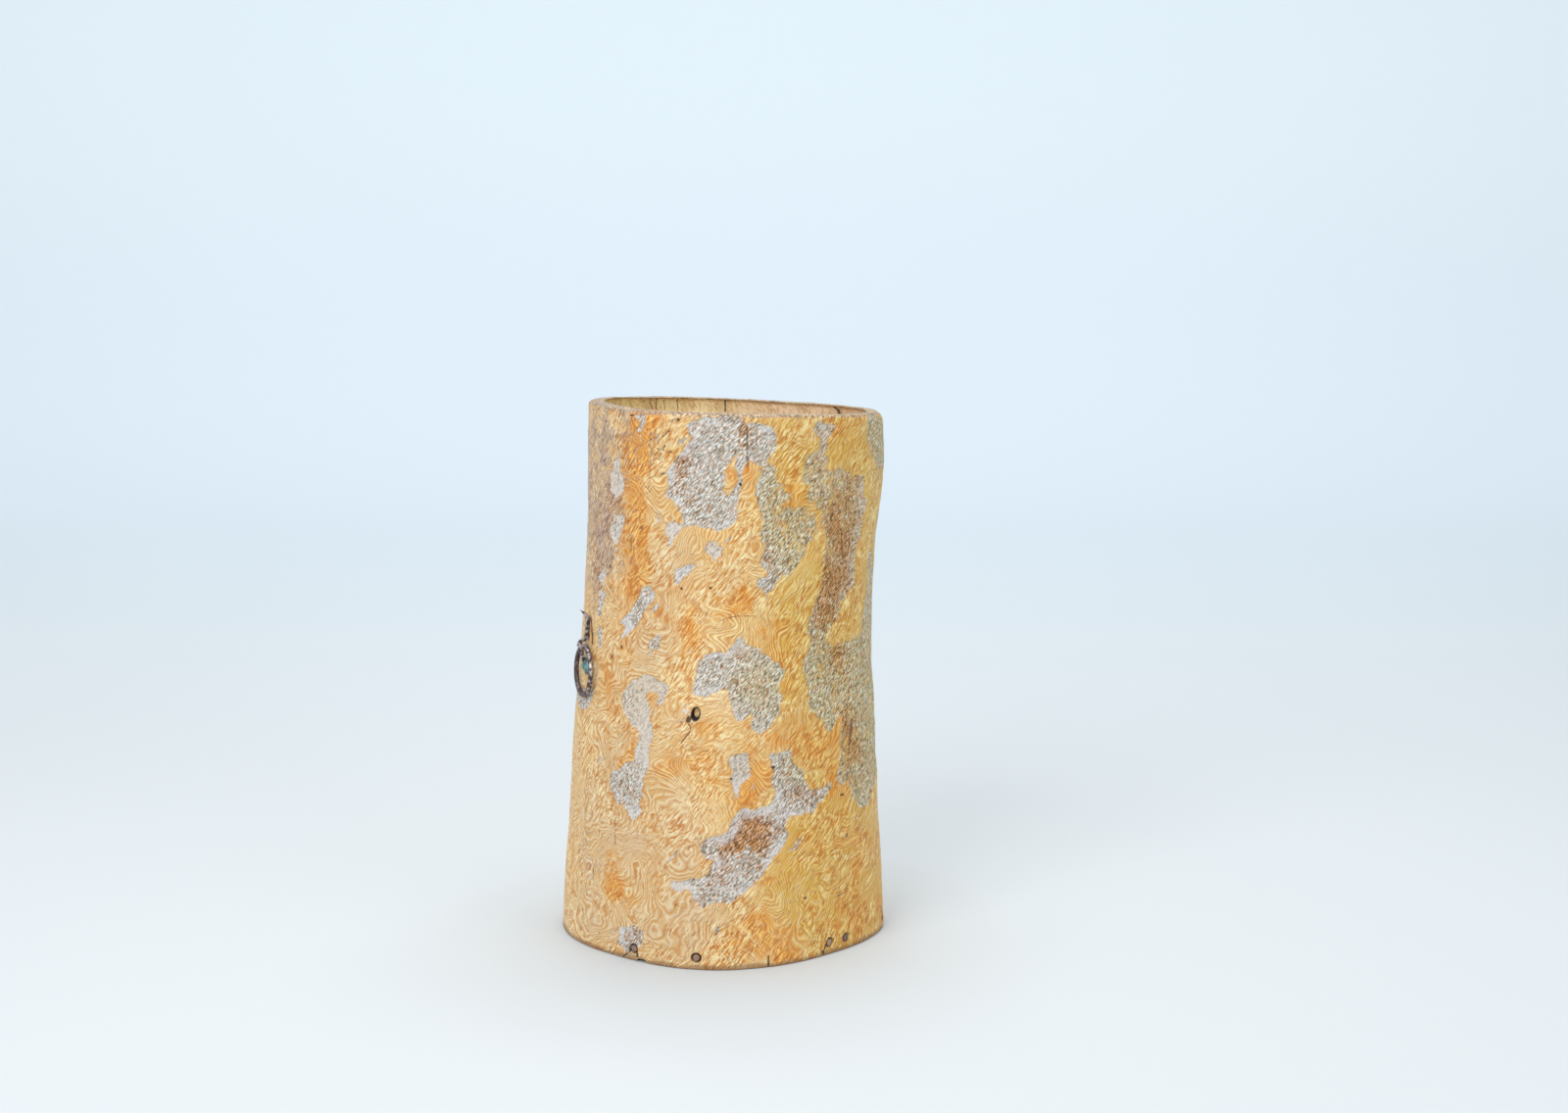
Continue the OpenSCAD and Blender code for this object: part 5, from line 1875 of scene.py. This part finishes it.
@dataclass
class BottomBoard:
    """The board set in the foot, as a plank that is a little dished and worn at its edge."""

    form: TrunkForm
    gap: float = 0.0002
    low: float = 0.0015
    high: float = 0.0213
    steps: int = 168
    profile: tuple[tuple[float, float], ...] = (
        (0.0, 0.0), (0.5, 0.0), (0.97, 0.0), (0.992, 0.04), (1.0, 0.12), (1.0, 0.92), (0.995, 0.975),
        (0.985, 1.0), (0.90, 0.995), (0.78, 0.985), (0.64, 0.975), (0.48, 0.97), (0.30, 0.965),
        (0.14, 0.965), (0.0, 0.965))

    def build(self, material: bpy.types.Material) -> bpy.types.Object:
        """Turn the board's section round, then give it the seat's outline."""
        shape = bmesh.new()
        column = [shape.verts.new((share, 0.0, level)) for share, level in self.profile]
        edges = [shape.edges.new(pair) for pair in zip(column, column[1:])]
        bmesh.ops.spin(shape, geom=column + edges, cent=(0, 0, 0), axis=(0, 0, 1), angle=2 * math.pi,
                       steps=self.steps, use_merge=True, use_duplicate=False)
        bmesh.ops.remove_doubles(shape, verts=shape.verts, dist=1e-5)
        bmesh.ops.recalc_face_normals(shape, faces=shape.faces)
        found = places(shape)
        azimuth = np.arctan2(found[:, 1], found[:, 0])
        share = np.hypot(found[:, 0], found[:, 1])
        out = share * (self.form.seat_radius(azimuth) - self.gap)
        up = self.low + found[:, 2] * (self.high - self.low)
        goal = np.stack([out * np.cos(azimuth), out * np.sin(azimuth), up], axis=1)
        worn = 0.00035 * noise_field(goal * (0.4, 1, 1), 120, 61) * (found[:, 2] > 0.96)
        goal[:, 2] -= np.abs(worn)
        move_to(shape, goal)
        piece = Piece("foot_board", ("bottom_board",), "board_wood", sharp_angle=math.radians(60))
        return piece.finish(shape, material)


def meet(first: Vector, first_heading: float, second: Vector, second_heading: float) -> Vector:
    """Find where two lines of a plane meet, each given by a point and a heading."""
    u = Vector((math.cos(first_heading), math.sin(first_heading)))
    v = Vector((math.cos(second_heading), math.sin(second_heading)))
    apart = second - first
    return first + u * (apart.x * v.y - apart.y * v.x) / (u.x * v.y - u.y * v.x)


@dataclass(frozen=True)
class Fitting:
    """The upright plane that the nail and the plate lie in; its X runs out from the wall."""

    form: TrunkForm
    azimuth: float = math.radians(199.6)
    facing: float = math.radians(200.4)
    pivot_height: float = 0.225
    ring_width: float = 0.040
    ring_bar: float = 0.004
    ring_gap: float = 0.0005
    nail_drop: float = 0.0115

    @property
    def out(self) -> float:
        """Distance from the trunk's axis out to the wall at the ring's pivot."""
        return float(self.form.radius(self.azimuth, self.pivot_height))

    @property
    def pivot(self) -> Vector:
        """Middle of the ring's top bar, in the plane."""
        return Vector((self.ring_gap + self.ring_bar / 2, self.pivot_height))

    @property
    def nail_height(self) -> float:
        """Height at which the nail leaves the wall."""
        return self.pivot_height - self.nail_drop

    @property
    def wall_lean(self) -> float:
        """Lean of the wall behind the hanging ring."""
        drop = self.ring_width - self.ring_bar
        return math.atan(self.wall_at(self.pivot_height - drop) / drop)

    @property
    def frame(self) -> Matrix:
        """The plane's place in the object."""
        return (Matrix.Rotation(self.azimuth, 4, "Z") @ Matrix.Translation((self.out, 0, 0))
                @ Matrix.Rotation(self.facing - self.azimuth, 4, "Z"))

    def wall_at(self, height: float) -> float:
        """How far out the wall is at a height, in the plane."""
        return float(self.form.radius(self.azimuth, height)) - self.out


@dataclass
class BentNail:
    """The wrought nail: its head inside, its shank out through the wall, over the ring and up."""

    fitting: Fitting
    thickness: float = 0.0028
    flat_width: float = 0.0044
    eye_gap: float = 0.0007
    eye_heading: float = math.radians(73)
    crown_share: float = 0.85
    return_heading: float = math.radians(158)
    tail: float = 0.017
    point: float = 0.008
    point_heading: float = math.radians(42)
    point_share: float = 0.25
    bends: tuple[float, ...] = (0.0025, 0.0036, 0.0035, 0.0060)
    head_gap: float = 0.001
    head_width: float = 0.011
    head_height: float = 0.0034
    head_edge: float = 0.0008
    spread: tuple[float, float] = (0.0155, 0.0195)
    bend_steps: int = 9
    leg_step: float = 0.0012
    sides: int = 12
    square: float = 0.17

    def corners(self) -> list[Vector]:
        """Work out the nail's corners: at its head, out of the wall, over the ring, back to the
        wall, up it and away at the point."""
        fit, half = self.fitting, self.thickness / 2
        eye = fit.ring_bar / 2 + self.eye_gap + half
        side = fit.pivot + eye * Vector((math.sin(self.eye_heading), -math.cos(self.eye_heading)))
        foot = meet(Vector((0, fit.nail_height)), 0.0, side, self.eye_heading)
        over = Vector((0, fit.pivot.y + self.crown_share * eye))
        crown = meet(over, 0.0, side, self.eye_heading)
        up = math.pi / 2 + fit.wall_lean
        tail_foot = meet(crown, self.return_heading, Vector((fit.ring_gap + half, fit.pivot.y)), up)
        tail_top = tail_foot + self.tail * Vector((math.cos(up), math.sin(up)))
        away = Vector((math.cos(self.point_heading), math.sin(self.point_heading)))
        inner = float(fit.form.inner_radius(fit.azimuth, fit.nail_height)) - fit.out
        head = Vector((inner - self.head_gap, fit.nail_height))
        return [head, foot, crown, tail_foot, tail_top, tail_top + self.point * away]

    def path(self, points: list[Vector]) -> list[tuple[Vector, float]]:
        """Bend the nail at its corners.

        Args:
            points: the corners.

        Returns:
            The place and the heading at each step, in the fitting's plane.
        """
        headings = [math.atan2(*(b - a).yx) for a, b in zip(points, points[1:])]
        steps: list[tuple[Vector, float]] = [(points[0], headings[0])]
        for i, bend in enumerate(self.bends, start=1):
            turn = wrap(headings[i] - headings[i - 1]).item()
            side = 1 if turn > 0 else -1
            back = bend * abs(math.tan(turn / 2))
            ahead = Vector((math.cos(headings[i - 1]), math.sin(headings[i - 1])))
            enter = points[i] - back * ahead
            middle = enter + side * bend * Vector((-ahead.y, ahead.x))
            self._straight(steps, enter, headings[i - 1])
            for k in range(1, self.bend_steps + 1):
                heading = headings[i - 1] + turn * k / self.bend_steps
                place = middle + side * bend * Vector((math.sin(heading), -math.cos(heading)))
                steps.append((place, heading))
        self._straight(steps, points[-1], headings[-1])
        return steps

    def _straight(self, steps: list[tuple[Vector, float]], goal: Vector, heading: float) -> None:
        """Add the steps of a straight leg up to a place."""
        start = steps[-1][0]
        count = max(1, round((goal - start).length / self.leg_step))
        for k in range(1, count + 1):
            steps.append((start.lerp(goal, k / count), heading))

    def build(self, material: bpy.types.Material) -> bpy.types.Object:
        """Sweep the shank behind its head, hammer it flat outside and draw out the point."""
        points = self.corners()
        path = self.path(points)
        lengths = [0.0]
        for (before, _), (after, _) in zip(path, path[1:]):
            lengths.append(lengths[-1] + (after - before).length)
        base = points[0]
        head = [(base.x - self.head_height, 0.46 * self.head_width / 2),
                (base.x - 0.75 * self.head_height, 0.74 * self.head_width / 2),
                (base.x - self.head_edge, 0.97 * self.head_width / 2), (base.x, self.head_width / 2)]
        stations = [self._station(Vector((x, base.y)), 0.0, radius, 1.0) for x, radius in head]
        spread = self.flat_width / self.thickness - 1
        for (place, heading), length in zip(path, lengths):
            left = lengths[-1] - length
            share = self.point_share + (1 - self.point_share) * float(ease(left, 0, self.point))
            wide = 1 + spread * float(ease(length, *self.spread))
            stations.append(self._station(place, heading, share * self.thickness / 2, wide))
        shape = swept(stations, self.sides, self.square)
        found = places(shape)
        forged = self._forged(found)
        move_to(shape, forged)
        local = (np.array(self.fitting.frame.inverted()) @ np.c_[forged, np.ones(len(forged))].T).T
        rub = ease(local[:, 0], -0.001, 0.004) * 0.6 + 0.6
        return Piece("bent_nail", ("eye_nail",), "wrought_iron").finish(shape, material, {"rub": rub})

    def _station(self, place: Vector, heading: float, radius: float, wide: float) -> Station:
        """Set a section square to the nail at a place in the fitting's plane."""
        frame = (self.fitting.frame @ Matrix.Translation((place.x, 0, place.y))
                 @ Matrix.Rotation(math.pi / 2 - heading, 4, "Y") @ Matrix.Diagonal((1, wide, 1, 1)))
        return Station(frame, radius)

    def _forged(self, found: np.ndarray) -> np.ndarray:
        """Dent the nail's surface as a hammer does, never outwards."""
        dents = 0.00010 * (noise_field(found, 520, 71) - 0.8) + 0.00006 * (noise_field(found, 1500, 73) - 0.8)
        centre = np.array(self.fitting.frame.translation)
        away = found - centre
        away[:, 2] = 0
        along = away / np.maximum(np.linalg.norm(away, axis=1), 1e-9)[:, None]
        return found + along * dents[:, None]


@dataclass
class CopperScrap:
    """The scrap of copper sheet under the nail, a little crumpled away from the wall."""

    fitting: Fitting
    outline: tuple[tuple[float, float], ...] = (
        (-0.011, -0.005), (-0.003, 0.0028), (0.004, 0.0036), (0.0075, -0.0015), (0.002, -0.0095))
    thickness: float = 0.0008
    gap: float = 0.0002
    crumple: float = 0.0006
    cells: int = 34

    def build(self, material: bpy.types.Material) -> bpy.types.Object:
        """Cut the scrap out of a sheet, thicken it and crumple it."""
        shape = bmesh.new()
        bmesh.ops.create_grid(shape, x_segments=self.cells, y_segments=self.cells, size=0.0125)
        corners = [Vector((*corner, 0)) for corner in self.outline]
        for start, end in zip(corners, corners[1:] + corners[:1]):
            run = end - start
            bmesh.ops.bisect_plane(shape, geom=list(shape.verts) + list(shape.edges) + list(shape.faces),
                                   plane_co=start, plane_no=Vector((-run.y, run.x, 0)), clear_outer=True)
        sheet = list(shape.faces)
        grown = bmesh.ops.extrude_face_region(shape, geom=sheet)["geom"]
        top = [part for part in grown if isinstance(part, bmesh.types.BMVert)]
        bmesh.ops.translate(shape, verts=top, vec=(0, 0, self.thickness))
        found = places(shape)
        far = np.hypot(found[:, 0], found[:, 1])
        rise = np.abs(noise_field(found * (1, 1, 0), 210, 81)) + 0.5 * np.abs(noise_field(found * (1, 1, 0), 620, 83))
        found[:, 2] += self.crumple * rise * ease(far, 0.0012, 0.0050)
        ragged = 1 + 0.07 * noise_field(found * (1, 1, 0), 700, 85) * ease(far, 0.003, 0.006)
        found[:, 0] *= ragged
        found[:, 1] *= ragged
        move_to(shape, found)
        lie = (self.fitting.frame
               @ Matrix.Translation((self.fitting.wall_at(self.fitting.nail_height) + self.gap, 0,
                                     self.fitting.nail_height))
               @ Matrix.Rotation(-self.fitting.wall_lean, 4, "Y")
               @ Matrix(((0, 0, 1, 0), (1, 0, 0, 0), (0, 1, 0, 0), (0, 0, 0, 1))))
        bmesh.ops.transform(shape, matrix=lie, verts=shape.verts)
        bmesh.ops.recalc_face_normals(shape, faces=shape.faces)
        return Piece("copper_scrap", ("rove_plate",), "copper_rove").finish(shape, material)


@dataclass
class IronRing:
    """The forged ring, which hangs from the nail and swings on its own top bar."""

    bar_radius: float = 0.0020
    sides: int = 14
    steps: int = 108
    dent: float = 0.00012
    worn_top: float = 0.10

    def build(self, material: bpy.types.Material, joint: dict) -> bpy.types.Object:
        """Spin the bar round and forge it.

        Args:
            material: the iron.
            joint: the hinge that the ring swings on.

        Returns:
            The ring.
        """
        low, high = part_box("ring")
        pivot, axis = Vector(joint["pos_m"]), Vector(joint["axis"]).normalized()
        down = (low + high) / 2 - pivot
        reach = down.length
        down.normalize()
        facing = axis.cross(down)
        shape = bmesh.new()
        lie = Matrix.Translation((reach, 0, 0)) @ Matrix.Rotation(math.pi / 2, 4, "X")
        made = bmesh.ops.create_circle(shape, segments=self.sides, radius=self.bar_radius, matrix=lie)
        edges = list({edge for vert in made["verts"] for edge in vert.link_edges})
        bmesh.ops.spin(shape, geom=made["verts"] + edges, cent=(0, 0, 0), axis=(0, 0, 1),
                       angle=2 * math.pi, steps=self.steps, use_merge=True, use_duplicate=False)
        found = places(shape)
        angle = np.arctan2(found[:, 1], found[:, 0])
        core = np.stack([reach * np.cos(angle), reach * np.sin(angle), 0 * angle], axis=1)
        bar = found - core
        top = ease(np.abs(wrap(angle + math.pi / 2)), 0.35, 0.05)
        section = np.arctan2(bar[:, 2], (bar * core).sum(1) / reach)
        thin = 1 - self.worn_top * top - 0.05 * np.abs(np.sin(2 * section)) * (1 - top)
        thin -= 0.05 * np.abs(noise_field(found, 300, 91)) + 0.03 * np.abs(noise_field(found, 900, 93))
        move_to(shape, core + bar * thin[:, None])
        turn = Matrix((axis, down, facing)).transposed().to_4x4()
        turn.translation = pivot + reach * down
        bmesh.ops.transform(shape, matrix=turn, verts=shape.verts)
        bmesh.ops.recalc_face_normals(shape, faces=shape.faces)
        rub = 0.30 + 0.7 * np.maximum(top, ease(np.cos(section), 0.2, 0.9))
        piece = Piece("iron_ring", ("ring",), "wrought_iron", RING_BODY)
        return piece.finish(shape, material, {"rub": rub})


@dataclass(frozen=True)
class Lamp:
    """A soft square lamp that looks at the measure's middle."""

    name: str
    place: tuple[float, float, float]
    size: float
    power: float
    colour: tuple[float, float, float] = (1.0, 1.0, 1.0)
    target: tuple[float, float, float] = (0.0, 0.0, 0.2)

    def hang(self) -> bpy.types.Object:
        """Hang the lamp and turn it to its target."""
        data = bpy.data.lights.new(self.name, "AREA")
        data.shape = "SQUARE"
        data.size = self.size
        data.energy = self.power
        data.color = self.colour
        lamp = bpy.data.objects.new(self.name, data)
        lamp.location = self.place
        look = Vector(self.target) - Vector(self.place)
        lamp.rotation_euler = look.to_track_quat("-Z", "Y").to_euler()
        bpy.context.scene.collection.objects.link(lamp)
        return lamp


@dataclass
class Studio:
    """The plain pale floor, which runs up into a backdrop, and the soft light."""

    half_width: float = 5.0
    front: float = -4.0
    bend_start: float = 1.6
    bend_radius: float = 1.2
    top: float = 4.0
    bend_steps: int = 20
    world_colour: tuple[float, float, float, float] = (0.94, 0.97, 1.0, 1.0)
    world_level: float = 0.62
    world_seen: Colour = srgb(222, 235, 243)
    lamps: tuple[Lamp, ...] = (
        Lamp("key", (-1.1, -1.9, 1.9), 1.6, 34.0, (1.0, 0.99, 0.97)),
        Lamp("fill", (1.8, -1.6, 1.0), 1.6, 8.0, (0.96, 0.98, 1.0)),
        Lamp("top", (0.1, 0.3, 2.2), 1.4, 26.0, (1.0, 1.0, 1.0)),
    )

    def build(self) -> None:
        """Lay the floor, bend it up behind, and light it."""
        shape = bmesh.new()
        start = shape.verts.new((-self.half_width, self.front, 0.0))
        bend = shape.verts.new((-self.half_width, self.bend_start, 0.0))
        shape.edges.new((start, bend))
        bmesh.ops.spin(shape, geom=[bend], cent=(-self.half_width, self.bend_start, self.bend_radius),
                       axis=(1, 0, 0), angle=math.pi / 2, steps=self.bend_steps, use_duplicate=False)
        shape.verts.ensure_lookup_table()
        last = max(shape.verts, key=lambda vert: (vert.co.y, vert.co.z))
        upper = shape.verts.new((-self.half_width, last.co.y, self.top))
        shape.edges.new((last, upper))
        grown = bmesh.ops.extrude_edge_only(shape, edges=list(shape.edges))["geom"]
        verts = [part for part in grown if isinstance(part, bmesh.types.BMVert)]
        bmesh.ops.translate(shape, verts=verts, vec=(2 * self.half_width, 0, 0))
        bmesh.ops.recalc_face_normals(shape, faces=shape.faces)
        mesh = bpy.data.meshes.new("studio_floor")
        for face in shape.faces:
            face.smooth = True
        shape.to_mesh(mesh)
        shape.free()
        mesh.materials.append(StudioPaint().make())
        floor = bpy.data.objects.new("studio_floor", mesh)
        bpy.context.scene.collection.objects.link(floor)
        world = bpy.data.worlds.new("studio")
        world.use_nodes = True
        sheet = Sheet(world.node_tree)
        sky = world.node_tree.nodes["Background"]
        rays = sheet.add("ShaderNodeLightPath").outputs
        seen = sheet.sum([rays["Is Camera Ray"], rays["Is Glossy Ray"], rays["Is Transmission Ray"]])
        sheet.feed(sky.inputs["Color"], sheet.mix(seen, self.world_colour, self.world_seen))
        sheet.feed(sky.inputs["Strength"], sheet.between(seen, 0.0, 1.0, self.world_level, 1.0))
        bpy.context.scene.world = world
        for lamp in self.lamps:
            lamp.hang()
        bpy.context.scene.view_settings.view_transform = "Standard"


def main() -> None:
    """Build the measure's pieces in order, then the studio round them."""
    logging.basicConfig(level=logging.INFO, format="%(name)s %(message)s")
    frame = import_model()
    view = View()
    view.add_camera()
    form = TrunkForm()
    pegs = Pegs(form)
    Trunk(form, Sighting(form, view), pegs).build()
    BottomBoard(form).build(OldBoard().make())
    pegs.build(PegWood().make())
    iron = WroughtIron().make()
    fitting = Fitting(form)
    BentNail(fitting).build(iron)
    CopperScrap(fitting).build(Verdigris().make())
    IronRing().build(iron, frame["joints"][0])
    Studio().build()


if __name__ == "__main__":
    main()
